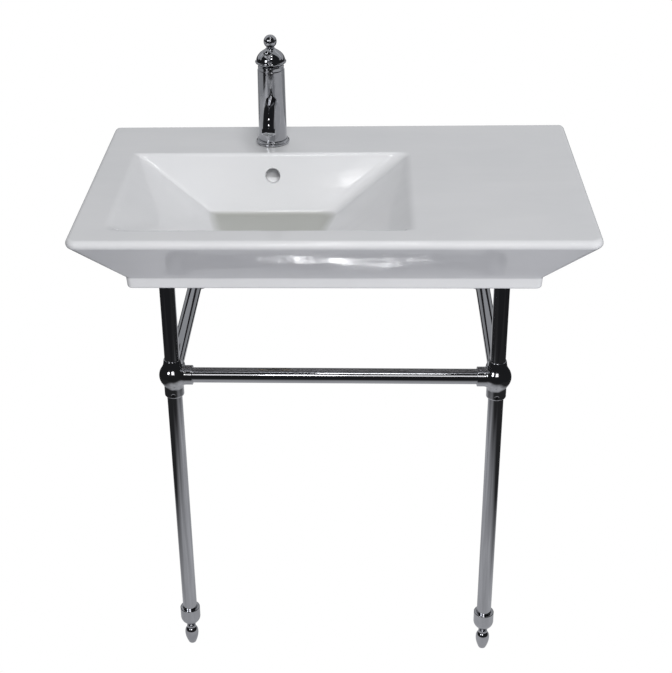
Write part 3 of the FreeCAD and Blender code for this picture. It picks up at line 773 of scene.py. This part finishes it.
def prism_x(name, poly, x0, x1, mat=None, bevel=0.0):
    a = [(x0, p[0], p[1]) for p in poly]
    b = [(x1, p[0], p[1]) for p in poly]
    n = len(poly)
    faces = [a, b[::-1]] + [[a[k], b[k], b[(k + 1) % n], a[(k + 1) % n]] for k in range(n)]
    return hull_faces(name, faces, mat, bevel, 3)


def keep_islands(o, test):
    bm = bmesh.new()
    bm.from_mesh(o.data)
    bm.verts.ensure_lookup_table()
    seen, drop_v = set(), []
    for v in bm.verts:
        if v in seen:
            continue
        stack, isl = [v], []
        seen.add(v)
        while stack:
            q = stack.pop()
            isl.append(q)
            for e in q.link_edges:
                w = e.other_vert(q)
                if w not in seen:
                    seen.add(w)
                    stack.append(w)
        if not test(isl):
            drop_v += isl
    bmesh.ops.delete(bm, geom=drop_v, context="VERTS")
    bm.to_mesh(o.data)
    bm.free()


def make_basin():
    basin = obj_of("basin_ware", basin_solid())
    basin.data.materials.append(M_GLAZE)
    sx, sy = (TX - BX) / DROP, (TY - BY) / DROP
    hx, hy = WALL_T * math.sqrt(1 + sx * sx), WALL_T * math.sqrt(1 + sy * sy)
    zi = DECK_Z - DECK_T
    hollow = hull_faces("hollow", skirted(TX - sx * DECK_T - hx, TY - sy * DECK_T - hy, zi, BX - WALL_T, BY - WALL_T,
                                          BAND_TOP_Z + 3.0, BAND_BOTTOM_Z - 20, HD - BACK_T), M_BISQUE, 5.0, 3)
    belly = hull_faces("belly", bowl_poly(X0 - 18.1, X1 + 18.1, Y0 - 15.1, Y1 + 11.5, DECK_Z, FLOOR_Z - WALL_T, FLOOR_XC,
                                          FYB + 8.2, FHB + 4.0, FYF - 4.5, FHF + 5.5, 2), M_BISQUE, 5.0, 3)
    bl = cylinder("bl", (-LEG_X, LEG_Y, 770), (0, 0, 1), 31, 95, 72, M_BISQUE)
    br = cylinder("br", (LEG_X, LEG_Y, 770), (0, 0, 1), 31, 95, 72, M_BISQUE)
    db = cylinder("db", (DRAIN[0], DRAIN[1], 741), (0, 0, 1), 43, 40, 96, M_BISQUE)
    duct = prism_x("duct", [(100, 861), (139, 861), (139, 741), (DRAIN[1], 741), (DRAIN[1], 764), (88, 764)], FLOOR_XC - 23, FLOOR_XC + 23, M_BISQUE, 2.5)
    boolean(hollow, [belly, bl, br, db, duct])
    keep_islands(hollow, lambda vs: min(v.co.z for v in vs) < (BAND_BOTTOM_Z - 1) * MM)
    passage = prism_x("passage", [(123.5, 846), (132.5, 846), (132.5, 748), (DRAIN[1], 748), (DRAIN[1], 757.5), (112, 757.5), (123.5, 768)],
                      FLOOR_XC - 13, FLOOR_XC + 13, M_GLAZE, 1.5)
    lean = math.atan2(Y1 - FYB, DECK_Z - FLOOR_Z)
    oz = 833.0
    oy = Y1 - (DECK_Z - oz) * math.tan(lean)
    od = (0, math.cos(lean), -math.sin(lean))
    # overflow with a softened lip
    v, f = turned(rounded([(0, -6), (15.4, -6), (15.4, -1.6), (12.2, 1.6, 4.0), (12.2, 24), (0, 24)], 10), (FLOOR_XC, oy, oz), od, 96)
    over = obj_of("over", mesh_of("over", v, f))
    over.data.materials.append(M_GLAZE)
    drain = cylinder("drain", (DRAIN[0], DRAIN[1], 700), (0, 0, 1), 23, 100, 96, M_GLAZE)
    seat = cylinder("seat", (DRAIN[0], DRAIN[1], 766.0), (0, 0, 1), 33.5, 10, 96, M_GLAZE)
    taph = cylinder("taph", (TAP[0], TAP[1], DECK_Z - 40), (0, 0, 1), 17.5, 60, 72, M_BISQUE)
    wl = cylinder("wl", (-140, HD - BACK_T - 6, 815), (0, 1, 0), 7, BACK_T + 14, 48, M_BISQUE)
    wr = cylinder("wr", (140, HD - BACK_T - 6, 815), (0, 1, 0), 7, BACK_T + 14, 48, M_BISQUE)
    boolean(basin, [hollow, passage, over, seat, drain, taph, wl, wr])
    bm = bmesh.new()
    bm.from_mesh(basin.data)
    bmesh.ops.remove_doubles(bm, verts=bm.verts, dist=2e-6)
    bmesh.ops.dissolve_degenerate(bm, edges=bm.edges, dist=1e-6)
    bm.to_mesh(basin.data)
    bm.free()
    smooth(basin, 32.0)
    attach(basin, "console")
    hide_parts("basin")
    return basin


make_basin()

# ------------------------------------------------------------------ mixer tap
H = DECK_Z
tx, ty = TAP


def tap_lathe(name, outline, mat, node, body="console", segs=96, angle=34.0):
    v, f = turned(outline, (tx, ty, H), (0, 0, 1), segs)
    return piece(name, mesh_of(name, v, f), mat, body, node, angle)


tap_lathe("tap_foot_ring", rounded([(18.5, 1.2, 0.3), (28.8, 1.2, 0.5), (28.8, 4.6, 1.6), (27.2, 5.6, 0.6), (26.4, 6.2, 0.5), (26.4, 8.0, 0.7), (18.5, 8.0, 0.2)]),
          M_CHROME, "tap_base_ring")
tap_lathe("tap_column", rounded([(17.5, 8.0, 0.3), (24.2, 8.0, 0.5), (23.0, 131.0, 1.0), (18.5, 131.0, 0.3), (18.5, 92.0, 0.3), (9.0, 92.0), (9.0, 60.0), (17.5, 60.0, 0.3)]),
          M_BODY, "tap_body", segs=128)
tap_lathe("cartridge_collar", rounded([(14.2, 126.0, 0.2), (18.4, 126.0, 0.2), (18.4, 131.02), (22.0, 131.02, 0.7), (22.0, 136.6, 1.0), (20.5, 139.0, 0.8), (14.2, 139.0, 0.2)]),
          M_CHROME, "cartridge_nut")
DOME_OUT = [(26.0, 143.1), (26.32, 143.9), (26.2, 145.1), (25.2, 146.1), (24.75, 147.6), (24.0, 150.2), (22.9, 152.9), (21.2, 155.6), (19.0, 158.2),
            (16.2, 160.7), (13.2, 162.8), (10.4, 164.6), (8.4, 166.2), (7.3, 167.9)]
DOME_IN = [(24.4, 143.0), (23.7, 147.0), (22.2, 150.6), (20.2, 153.8), (17.6, 156.7), (14.4, 159.2), (11.0, 161.2), (7.5, 162.4), (7.5, 152.6), (0, 152.6)]
tap_lathe("dome", curve_through(DOME_OUT, 5) + [(0, 168.0)] + DOME_IN[::-1], M_CHROME, "dome_cap", "handle", 128)
BALL_R, BALL_H = 11.1, 178.8
ball = [(BALL_R * math.sin(math.radians(k)), BALL_H - BALL_R * math.cos(math.radians(k))) for k in np.arange(30, 180, 5)]
tap_lathe("finial_ball", [(0, 162), (2.5, 162), (2.5, 168.0)] + curve_through([(6.9, 168.02), (6.0, 168.45), (5.35, 168.9), ball[0]], 4)[:-1] + ball + [(0, BALL_H + BALL_R)],
          M_CHROME, "finial", "handle", 96, 50.0)

SPOUT_H, SPOUT_STRAIGHT, SPOUT_BEND_R, SPOUT_BEND = 80.0, 62.0, 44.0, 58.0
path = [(tx, ty - y, H + SPOUT_H) for y in np.linspace(20.5, SPOUT_STRAIGHT, 8)]
for k in range(1, 25):
    w = math.radians(SPOUT_BEND) * k / 24
    path.append((tx, ty - SPOUT_STRAIGHT - SPOUT_BEND_R * math.sin(w), H + SPOUT_H - SPOUT_BEND_R + SPOUT_BEND_R * math.cos(w)))
v, f = swept(path, ([6.0] * len(path), [10.0] * len(path)), 72)
piece("spout_pipe", mesh_of("spout_pipe", v, f), M_CHROME, "console", "spout")
wa = math.radians(SPOUT_BEND)
p3 = path[-1]
sd = (0, -math.cos(wa), -math.sin(wa))
v, f = turned(rounded([(6.2, 0, 0.2), (10.9, 0, 0.5), (11.7, 0.8, 0.6), (11.7, 8.2, 0.9), (10.9, 9.0, 0.6), (8.6, 9.0, 0.3), (8.6, 1.6), (6.2, 1.6)]), p3, sd, 96)
piece("aerator_housing", mesh_of("aerator_housing", v, f), M_CHROME, "console", "aerator_ring")
# aerator face: a disc with rings of small slots
v, f = turned(rounded([(0, 1.7), (8.5, 1.7, 0.2), (8.5, 7.8, 0.5), (0, 7.5)]), p3, sd, 72)
ins = obj_of("aerator_mesh_body", mesh_of("aerator_mesh_body", v, f))
ins.data.materials.append(M_PLASTIC)
bx_, by_, bz_ = basis(sd)
cut = []
for rr, cnt_ in ((2.3, 5), (5.6, 11)):
    for k in range(cnt_):
        w = 2 * math.pi * k / cnt_
        o = Vector(p3) + (bx_ * math.cos(w) + by_ * math.sin(w)) * rr + bz_ * 4.0
        cut.append(cylinder("slot", tuple(o), sd, 0.85, 8, 16, M_RUBBER))
boolean(ins, cut)
me_ins = ins.data.copy()
bpy.data.objects.remove(ins)
piece("aerator_face", me_ins, M_PLASTIC, "console", "aerator_insert", 30.0)

LEVER_A = math.radians(31.0)
ld = (0, -math.cos(LEVER_A), math.sin(LEVER_A))
lo_ = (tx, ty - 19.0, H + 147.8)
K = (70.0 - 19.0) / math.cos(LEVER_A)
v, f = turned([(0, -0.9), (2.5, -0.9), (2.5, 2.2)] + rounded([(4.4, 2.2), (4.7, 5.0, 1.0), (4.4, 8.0, 1.5), (3.35, 11.0, 4.0), (3.0, 24.0, 10.0), (3.2, K - 12.5, 0.3)], 8)[1:]
              + [(2.0, K - 12.4), (2.0, K - 4), (0, K - 4)], lo_, ld, 72)
piece("lever_rod", mesh_of("lever_rod", v, f), M_CHROME, "handle", "lever", 40.0)
kr = 7.3
knob = curve_through([(3.4, K - 12.5), (4.55, K - 11.6), (4.9, K - 10.2), (4.55, K - 8.9), (3.4, K - 8.0), (3.15, K - 7.3)], 5)
ballk = [(kr * math.sin(math.radians(k)), K - kr * math.cos(math.radians(k))) for k in np.arange(30, 180, 6)]
v, f = turned([(2.0, K - 12.5)] + knob + ballk + [(0, K + kr), (0, K - 4), (2.0, K - 4)], lo_, ld, 72)
piece("lever_end_ball", mesh_of("lever_end_ball", v, f), M_CHROME, "handle", "lever_knob", 50.0)

# ------------------------------------------------------------------ waste
dx, dy = DRAIN
zs = 766.0


def waste_lathe(name, outline, mat, node, body="console", segs=96, angle=34.0):
    v, f = turned(outline, (dx, dy, 0), (0, 0, 1), segs)
    return piece(name, mesh_of(name, v, f), mat, body, node, angle)


waste_lathe("pop_up_cap", rounded([(0, 718), (4.0, 718, 0.6), (4.0, 758.5, 0.4), (18.6, 758.5, 0.3), (19.0, 759.0, 0.2), (19.0, 761.6, 1.4), (16.5, 763.4, 2.5), (9.0, 764.8, 12.0), (0, 765.2)], 8),
            M_CHROME, "waste_plug", "plug")

# ------------------------------------------------------------------ stand
NODE_Z, NODE_R, SOCKET_R = 573.0, 23.5, 16.3
TUBE_R, TUBE_T = 12.7, 1.5


def tube_piece(name, start, direction, length, mat, node, ends=0.4):
    o = rounded([(TUBE_R - TUBE_T, 0), (TUBE_R, 0, ends), (TUBE_R, length, ends), (TUBE_R - TUBE_T, length)])
    v, f = turned(o, start, direction, 96)
    return piece(name, mesh_of(name, v, f), mat, "console", node)


def connector_field(s):
    # direction, length, rounding at the mouth, narrowing towards the mouth
    dirs = [((0, 0, 1), 31.0, 1.0, 0.15), ((0, 0, -1), 38.0, 2.6, 0.0), ((-s, 0, 0), 33.0, 1.1, 0.0), ((0, 1, 0), 33.0, 1.1, 0.0)]

    def field(x, y, z):
        # measured from the ball's centre
        ball_ = np.sqrt(x * x + y * y + z * z) - NODE_R
        res = ball_
        bores = None
        for (a, b, c), l, e, taper in dirs:
            t = a * x + b * y + c * z
            rad = np.sqrt(np.maximum(0, x * x + y * y + z * z - t * t))
            q0 = rad - (SOCKET_R - taper * np.maximum(t - 17.0, 0)) + e
            q1 = t - l + e
            q2 = -t + e
            qq = np.maximum(q1, q2)
            cyl_ = np.minimum(np.maximum(q0, qq), 0) + np.sqrt(np.maximum(q0, 0) ** 2 + np.maximum(qq, 0) ** 2) - e
            res = smin(res, cyl_, 3.6)
            bore = np.maximum(rad - (TUBE_R + 0.04), 13.0 - t)
            bores = bore if bores is None else np.minimum(bores, bore)
        holes = None
        for o, d in (((0, 0, -32), (0, -1, 0)), ((0, 0, -32), (s, 0, 0)), ((-s * 28, 0, 0), (0, 0, -1)), ((0, 28, 0), (0, 0, -1))):
            px, py, pz = x - o[0], y - o[1], z - o[2]
            t = px * d[0] + py * d[1] + pz * d[2]
            rad = np.sqrt(np.maximum(0, px * px + py * py + pz * pz - t * t))
            h = np.maximum(rad - 3.05, 10.0 - t)
            holes = h if holes is None else np.minimum(holes, h)
        return np.maximum(np.maximum(res, -bores), -holes)

    return field


for side, s in (("left", -1), ("right", 1)):
    x, y = s * LEG_X, LEG_Y
    tube_piece("upper_tube_" + side, (x, y, NODE_Z + 13), (0, 0, 1), 760 - NODE_Z - 13, M_TUBE, "upper_leg_" + side)
    tube_piece("lower_tube_" + side, (x, y, 56), (0, 0, 1), NODE_Z - 13 - 56, M_TUBE, "lower_leg_" + side)
    tube_piece("arm_tube_" + side, (x, y + 13, NODE_Z), (0, 1, 0), 242 - y - 13, M_TUBE_Y, "arm_" + side)
    v, f = level_surface(connector_field(s), (-36.5, -26.5, -41.5), (36.5, 36.5, 34.5), 0.85)
    v = [(p[0] + x, p[1] + y, p[2] + NODE_Z) for p in v]
    piece("ball_joint_" + side, mesh_of("ball_joint_" + side, v, f), M_CAST, "console", "connector_" + side, 48.0, False)
    # top plate and its socket under the ceramic
    v, f = turned(rounded([(12.7, 742, 0.2), (15.6, 742, 0.5), (15.6, 758.5, 1.0), (17.5, 761.8, 1.0), (29, 761.8, 0.8), (29, 767, 0.8), (0, 767), (0, 760), (12.7, 760)]), (x, y, 0), (0, 0, 1), 96)
    piece("top_plate_" + side, mesh_of("top_plate_" + side, v, f), M_CHROME, "console", "leg_top_plate_" + side)
    # wall flange, turned about the arm's axis, with three screw holes
    v, f = turned(rounded([(12.7, 30, 0.2), (16.0, 30, 0.8), (16.0, 9.0, 2.2), (18.5, 7.0, 2.0), (28.2, 7.0, 1.6), (30.0, 5.0, 1.2), (30.0, 0, 0.3), (0, 0), (0, 8), (12.7, 8)]),
                  (x, 250.0, NODE_Z), (0, -1, 0), 96)
    fl = obj_of("fl", mesh_of("fl", v, f))
    fl.data.materials.append(M_CHROME)
    cut = []
    for k in range(3):
        t = math.radians(90 + 120 * k)
        cut.append(cylinder("h", (x + 23 * math.cos(t), 252.0, NODE_Z + 23 * math.sin(t)), (0, -1, 0), 2.6, 14, 32, M_CHROME))
        v, f = turned([(0, 0), (2.6, 0), (5.2, 2.6), (5.2, 4), (0, 4)], (x + 23 * math.cos(t), 245.6, NODE_Z + 23 * math.sin(t)), (0, -1, 0), 32)
        cs = obj_of("cs", mesh_of("cs", v, f))
        cs.data.materials.append(M_CHROME)
        cut.append(cs)
    cut.append(cylinder("sh", (x, 228.0, NODE_Z - 10), (0, 0, -1), 2.5, 10, 32, M_CHROME))
    boolean(fl, cut)
    me_f = fl.data.copy()
    bpy.data.objects.remove(fl)
    piece("wall_rose_" + side, me_f, M_CHROME, "console", "wall_flange_" + side)
    # foot cup: goblet shape with a rounded lip
    cup = [(5.5, 45.0), (8.0, 45.0)] + curve_through([(8.25, 45.3), (9.1, 46.5), (11.9, 49.4), (15.0, 53.2), (17.0, 57.1), (17.8, 61.2)], 5)[1:] \
        + rounded([(17.8, 61.3), (17.8, 82.9, 1.6), (13.2, 82.9, 0.5), (12.72, 82.0)], 10)[1:] + [(12.72, 56.0), (5.5, 56.0)]
    v, f = turned(cup, (x, y, 0), (0, 0, 1), 96)
    piece("foot_cup_shell_" + side, mesh_of("foot_cup_shell_" + side, v, f), M_CAST, "console", "foot_cup_" + side, 40.0)
    # levelling foot: pear-shaped button on a threaded stem
    prof = curve_through([(4.9, 0.02), (6.4, 0.95), (8.4, 5.6), (10.6, 12.5), (11.9, 19.5), (12.1, 24.8), (11.5, 29.6), (9.7, 33.3), (8.0, 35.5), (7.5, 37.0), (7.8, 38.3)], 6)
    thread = []
    z = 40.2
    while z < 73.2:
        thread += [(4.5, z), (4.92, z + 0.4), (4.92, z + 0.6), (4.5, z + 1.0)]
        z += 1.25
    v, f = turned([(0, 0.0), (4.2, 0.0)] + prof + [(7.9, 39.0), (7.9, 40.0), (4.5, 40.0)] + thread + [(4.0, 74.0), (0, 74.0)], (x, y, 0), (0, 0, 1), 72)
    piece("adjustable_foot_" + side, mesh_of("adjustable_foot_" + side, v, f), M_CAST, side + "_foot", "levelling_foot_" + side, 40.0)

tube_piece("cross_tube", (-LEG_X + 13, LEG_Y, NODE_Z), (1, 0, 0), 2 * (LEG_X - 13), M_TUBE_X, "crossbar")

# ------------------------------------------------------------------ the other solids keep their shape
FINISH = {
    "tap_gasket": M_RUBBER, "tap_rubber_washer": M_RUBBER, "waste_top_gasket": M_RUBBER, "waste_lower_gasket": M_RUBBER, "plug_seal": M_RUBBER,
    "leg_pad_left": M_RUBBER, "leg_pad_right": M_RUBBER,
    "cartridge": M_PLASTIC, "cartridge_rotor": M_PLASTIC, "waste_washer": M_PLASTIC, "plug_guide": M_PLASTIC, "leg_insert_left": M_PLASTIC, "leg_insert_right": M_PLASTIC,
    "tap_stud": M_BRASS, "tap_nut": M_BRASS, "waste_nut": M_BRASS, "inlet_tail_hot": M_BRASS, "inlet_tail_cold": M_BRASS,
    "tap_steel_washer": M_STEEL, "pivot_pin": M_STEEL, "cartridge_stem": M_STEEL,
    "connector_screws_left": M_DARK, "connector_screws_right": M_DARK, "flange_set_screws": M_DARK,
    "waste_body": M_CHROME, "tailpiece": M_CHROME,
}
for name, o in NODES.items():
    m = FINISH.get(name, M_CHROME)
    if not o.material_slots:
        o.data.materials.append(m)
    for sl in o.material_slots:
        sl.link = "OBJECT"
        sl.material = m

# ------------------------------------------------------------------ stage
def emitter(name, colour, strength, one_sided=True):
    m = bpy.data.materials.new(name)
    m.use_nodes = True
    nt = m.node_tree
    nt.nodes.clear()
    out = nt.nodes.new("ShaderNodeOutputMaterial")
    e = nt.nodes.new("ShaderNodeEmission")
    e.inputs[0].default_value = (*colour, 1)
    e.inputs[1].default_value = strength
    if one_sided:
        g = nt.nodes.new("ShaderNodeNewGeometry")
        t = nt.nodes.new("ShaderNodeBsdfTransparent")
        x = nt.nodes.new("ShaderNodeMixShader")
        nt.links.new(g.outputs["Backfacing"], x.inputs[0])
        nt.links.new(e.outputs[0], x.inputs[1])
        nt.links.new(t.outputs[0], x.inputs[2])
        nt.links.new(x.outputs[0], out.inputs[0])
    else:
        nt.links.new(e.outputs[0], out.inputs[0])
    return m


def sheet(name, x0, x1, y0, y1, z, mat):
    me = bpy.data.meshes.new(name)
    me.from_pydata([(x0, y0, z), (x1, y0, z), (x1, y1, z), (x0, y1, z)], [], [(0, 1, 2, 3)])
    o = obj_of(name, me)
    o.data.materials.append(mat)
    return o


floor = sheet("floor", -30, 30, -30, 30, -0.0005, emitter("pale_floor", (1.0, 1.0, 1.0), 1.0))
floor.visible_diffuse = floor.visible_glossy = floor.visible_transmission = floor.visible_shadow = False
mb = bpy.data.materials.new("bounce_floor")
mb.use_nodes = True
pb = mb.node_tree.nodes["Principled BSDF"]
pb.inputs["Base Color"].default_value = (0.69, 0.69, 0.745, 1)
pb.inputs["Roughness"].default_value = 0.9
bounce = sheet("floor_bounce", -1.3, 1.3, -0.98, 0.10, -0.001, mb)
bounce.visible_camera = False

w = bpy.data.worlds.new("studio")
bpy.context.scene.world = w
w.use_nodes = True
nt = w.node_tree
nt.nodes.clear()
wo = nt.nodes.new("ShaderNodeOutputWorld")
lp = nt.nodes.new("ShaderNodeLightPath")


def back(colour, strength):
    b = nt.nodes.new("ShaderNodeBackground")
    b.inputs[0].default_value = (*colour, 1)
    b.inputs[1].default_value = strength
    return b


b_cam, b_gl, b_df = back((1, 1, 1), 1.0), back((0.55, 0.56, 0.60), 0.035), back((0.93, 0.95, 1.0), 0.22)
m1, m2 = nt.nodes.new("ShaderNodeMixShader"), nt.nodes.new("ShaderNodeMixShader")
nt.links.new(lp.outputs["Is Glossy Ray"], m1.inputs[0])
nt.links.new(b_df.outputs[0], m1.inputs[1])
nt.links.new(b_gl.outputs[0], m1.inputs[2])
nt.links.new(lp.outputs["Is Camera Ray"], m2.inputs[0])
nt.links.new(m1.outputs[0], m2.inputs[1])
nt.links.new(b_cam.outputs[0], m2.inputs[2])
nt.links.new(m2.outputs[0], wo.inputs[0])


def area(name, loc, target, sx_, sy_, power, colour=(1, 1, 1), glossy=True, diffuse=True, camera=False):
    l = bpy.data.lights.new(name, "AREA")
    l.shape = "RECTANGLE"
    l.size, l.size_y = sx_, sy_
    l.energy = power
    l.color = colour
    o = bpy.data.objects.new(name, l)
    COLL.objects.link(o)
    o.location = loc
    d = Vector(target) - Vector(loc)
    o.rotation_mode = "QUATERNION"
    o.rotation_quaternion = d.to_track_quat("-Z", "Y")
    o.visible_glossy = glossy
    o.visible_diffuse = diffuse
    o.visible_camera = camera
    return o


def seen_by(name, objects, keep=True):
    """Set of objects that a light reaches (or does not reach)."""
    c = bpy.data.collections.new(name)
    for o in objects:
        c.objects.link(o)
    if not keep:
        for q in c.collection_objects:
            q.light_linking.link_state = "EXCLUDE"
    return c


GLAZED = seen_by("lit_glaze", [bpy.data.objects["basin_ware"]])
TAP_PARTS = seen_by("lit_tap", [bpy.data.objects[n] for n in ("tap_foot_ring", "tap_column", "cartridge_collar", "dome", "finial_ball", "lever_rod", "lever_end_ball")])
NOT_SPOUT = seen_by("lit_not_spout", [bpy.data.objects[n] for n in ("spout_pipe", "aerator_housing")], False)


def panel(name, corners, colour, strength, fade=None, streaks=False, only=None):
    """Grey sheet that only the polished surfaces see; fade = (y from, y full, x full, x to)."""
    me = bpy.data.meshes.new(name)
    me.from_pydata(corners, [], [(0, 1, 2, 3)])
    o = obj_of(name, me)
    m = emitter(name, colour, strength, False)
    if fade:
        nt = m.node_tree
        e = [n for n in nt.nodes if n.type == "EMISSION"][0]
        co = nt.nodes.new("ShaderNodeTexCoord")
        sp = nt.nodes.new("ShaderNodeSeparateXYZ")
        nt.links.new(co.outputs["Object"], sp.inputs[0])
        ab = nt.nodes.new("ShaderNodeMath")
        ab.operation = "ABSOLUTE"
        nt.links.new(sp.outputs[0], ab.inputs[0])
        fy = spread(nt, sp.outputs[1], 0.0, 1.0, fade[0], fade[1])
        fx = spread(nt, ab.outputs[0], 1.0, 0.0, fade[2], fade[3])
        mu = nt.nodes.new("ShaderNodeMath")
        mu.operation = "MULTIPLY"
        nt.links.new(fy.outputs[0], mu.inputs[0])
        nt.links.new(fx.outputs[0], mu.inputs[1])
        cloudy = spread(nt, noise(nt, 3.0, 4.0, 0.6).outputs[0], 0.72, 1.25)
        mc = nt.nodes.new("ShaderNodeMath")
        mc.operation = "MULTIPLY"
        nt.links.new(mu.outputs[0], mc.inputs[0])
        nt.links.new(cloudy.outputs[0], mc.inputs[1])
        mu = mc
        m2_ = nt.nodes.new("ShaderNodeMath")
        m2_.operation = "MULTIPLY_ADD"
        nt.links.new(mu.outputs[0], m2_.inputs[0])
        m2_.inputs[1].default_value = strength - 0.03
        m2_.inputs[2].default_value = 0.03
        nt.links.new(m2_.outputs[0], e.inputs[1])
    if streaks:
        nt = m.node_tree
        e = [n for n in nt.nodes if n.type == "EMISSION"][0]
        n1 = noise(nt, 55.0, 5.0, 0.7, (0.8, 7.0, 1.0))
        nt.links.new(spread(nt, n1.outputs[0], 0.0, strength, 0.46, 0.60).outputs[0], e.inputs[1])
    if only:
        # what it does not light looks straight through it
        nt = m.node_tree
        e = [n for n in nt.nodes if n.type == "EMISSION"][0]
        t = nt.nodes.new("ShaderNodeBsdfTransparent")
        a = nt.nodes.new("ShaderNodeAddShader")
        out = [n for n in nt.nodes if n.type == "OUTPUT_MATERIAL"][0]
        nt.links.new(e.outputs[0], a.inputs[0])
        nt.links.new(t.outputs[0], a.inputs[1])
        nt.links.new(a.outputs[0], out.inputs[0])
    o.data.materials.append(m)
    o.visible_camera = o.visible_diffuse = o.visible_shadow = o.visible_transmission = False
    if only:
        o.light_linking.receiver_collection = only
    return o


bounce.visible_glossy = False
# soft box in front, about 35 degrees up and a little to the right
area("key", (1.40, -6.70, 6.00), (0.0, 0.0, 0.8), 4.5, 3.0, 645.0, (1.0, 0.99, 0.985), glossy=False)
area("back_top", (-0.10, 1.00, 2.20), (0.0, 0.25, 0.87), 1.6, 0.6, 3.8, (1.0, 0.995, 0.99), glossy=False)
area("key_seen", (-0.02, -2.95, 2.42), (0.0, 0.0, 0.7), 1.35, 0.85, 5.6, (1.0, 0.99, 0.985), diffuse=False)
area("window_seen", (-1.75, -2.05, 2.15), (0.0, 0.0, 0.8), 0.7, 0.7, 8.0, (0.96, 0.98, 1.0), diffuse=False)
area("lamp_front", (-0.20, -2.90, 2.36), (0.0, 0.0, 0.8), 0.30, 0.22, 2.6, (1.0, 1.0, 1.0), diffuse=False)
area("lamp_seen", (0.10, -1.15, 2.60), (0.0, 0.0, 0.9), 0.42, 0.14, 1.6, (1.0, 1.0, 1.0), diffuse=False)
area("lamp_seen_high", (0.05, -0.35, 2.75), (0.0, 0.1, 0.9), 0.30, 0.16, 1.2, (1.0, 1.0, 1.0), diffuse=False)
area("low_right", (1.20, -1.30, 0.15), (0.2, -0.2, 0.8), 0.8, 0.5, 3.2, (0.97, 0.97, 1.0), glossy=False)
area("side_fill", (2.3, -0.9, 1.6), (0.0, 0.0, 0.8), 1.2, 1.2, 7.0, (0.96, 0.97, 1.0), glossy=False)
GREY = (0.95, 0.97, 1.0)
WHITE = (1.0, 1.0, 1.0)
panel("ceiling_grey", [(-2.9, 0.25, 2.7), (2.9, 0.25, 2.7), (2.9, 1.6, 2.7), (-2.9, 1.6, 2.7)], GREY, 0.40, only=NOT_SPOUT)
panel("wall_grey", [(-2.1, 1.3, 1.12), (2.1, 1.3, 1.12), (2.1, 1.3, 2.7), (-2.1, 1.3, 2.7)], GREY, 0.42, only=NOT_SPOUT)
panel("wall_middle", [(-2.1, 1.3, 0.86), (2.1, 1.3, 0.86), (2.1, 1.3, 1.12), (-2.1, 1.3, 1.12)], GREY, 0.55, only=GLAZED)
panel("wall_low", [(-1.3, 1.3, 0.30), (1.3, 1.3, 0.30), (1.3, 1.3, 0.85), (-1.3, 1.3, 0.85)], GREY, 0.34)
for side, s in (("left", -1), ("right", 1)):
    panel("side_low_" + side, [(s * 1.5, -0.4, 0.25), (s * 1.5, 1.3, 0.25), (s * 1.5, 1.3, 0.85), (s * 1.5, -0.4, 0.85)], GREY, 0.34, only=TAP_PARTS)
    panel("side_high_" + side, [(s * 2.9, -0.1, 1.75), (s * 2.9, 1.3, 1.75), (s * 2.9, 1.3, 2.70), (s * 2.9, -0.1, 2.70)], GREY, 0.36, only=TAP_PARTS)
    panel("wall_far_" + side, [(s * 2.1, 1.3, 1.22), (s * 2.9, 1.3, 1.22), (s * 2.9, 1.3, 2.70), (s * 2.1, 1.3, 2.70)], GREY, 0.40, only=TAP_PARTS)
panel("floor_grey", [(-1.4, -1.2, -0.0008), (1.4, -1.2, -0.0008), (1.4, 1.3, -0.0008), (-1.4, 1.3, -0.0008)], (0.96, 0.97, 1.0), 0.50, (-0.95, -0.45, 0.40, 0.75))
# glints that the skirt mirrors where it faces the cross tube
for k, (xa, xb, ym, th, power) in enumerate(((-0.136, 0.045, -0.1384, 0.0030, 26.0), (-0.070, 0.095, -0.1358, 0.0018, 20.0), (-0.010, 0.120, -0.1322, 0.0030, 24.0), (0.060, 0.215, -0.1372, 0.0014, 12.0))):
    xm = xa + 0.45 * (xb - xa)
    panel("glint_%d" % k, [(xa, ym, 0.5875), (xm, ym - th / 2, 0.5875), (xb, ym + 0.0004, 0.5875), (xm, ym + th / 2, 0.5875)], WHITE, power, streaks=True, only=GLAZED)
# slanting gap of daylight that the bowl's back wall mirrors
panel("gap_seen", [(-0.094, -3.0, 1.345), (-0.040, -3.0, 1.345), (0.118, -3.0, 1.52), (0.076, -3.0, 1.52)], WHITE, 12.0, only=GLAZED)
panel("gap_seen_small", [(-0.058, -3.0, 1.440), (0.000, -3.0, 1.448), (0.002, -3.0, 1.462), (-0.056, -3.0, 1.456)], WHITE, 14.0, only=GLAZED)

# ------------------------------------------------------------------ camera
def make_camera():
    pitch, yaw, roll = 0.49818, 0.07583, 0.03251
    cp, sp = math.cos(pitch), math.sin(pitch)
    cy, sy_ = math.cos(yaw), math.sin(yaw)
    rz = Matrix(((cy, -sy_, 0), (sy_, cy, 0), (0, 0, 1)))
    fwd, down, right = rz @ Vector((0, cp, -sp)), rz @ Vector((0, -sp, -cp)), rz @ Vector((1, 0, 0))
    r2 = right * math.cos(roll) + down * math.sin(roll)
    d2 = -right * math.sin(roll) + down * math.cos(roll)
    cam = bpy.data.cameras.new("camera")
    cam.sensor_fit = "AUTO"
    cam.sensor_width = 36.0
    cam.lens = 1387.33 / 673.0 * 36.0
    cam.shift_x, cam.shift_y = 0.0940, -0.0021
    o = bpy.data.objects.new("camera", cam)
    COLL.objects.link(o)
    m = Matrix.Identity(4)
    for i in range(3):
        m[i][0], m[i][1], m[i][2] = r2[i], -d2[i], -fwd[i]
    m.translation = Vector((0.05142, -2.11034, 1.72919))
    o.matrix_world = m
    bpy.context.scene.camera = o
    return o


make_camera()
bpy.context.scene.view_settings.view_transform = "Standard"
bpy.context.scene.view_settings.look = "None"
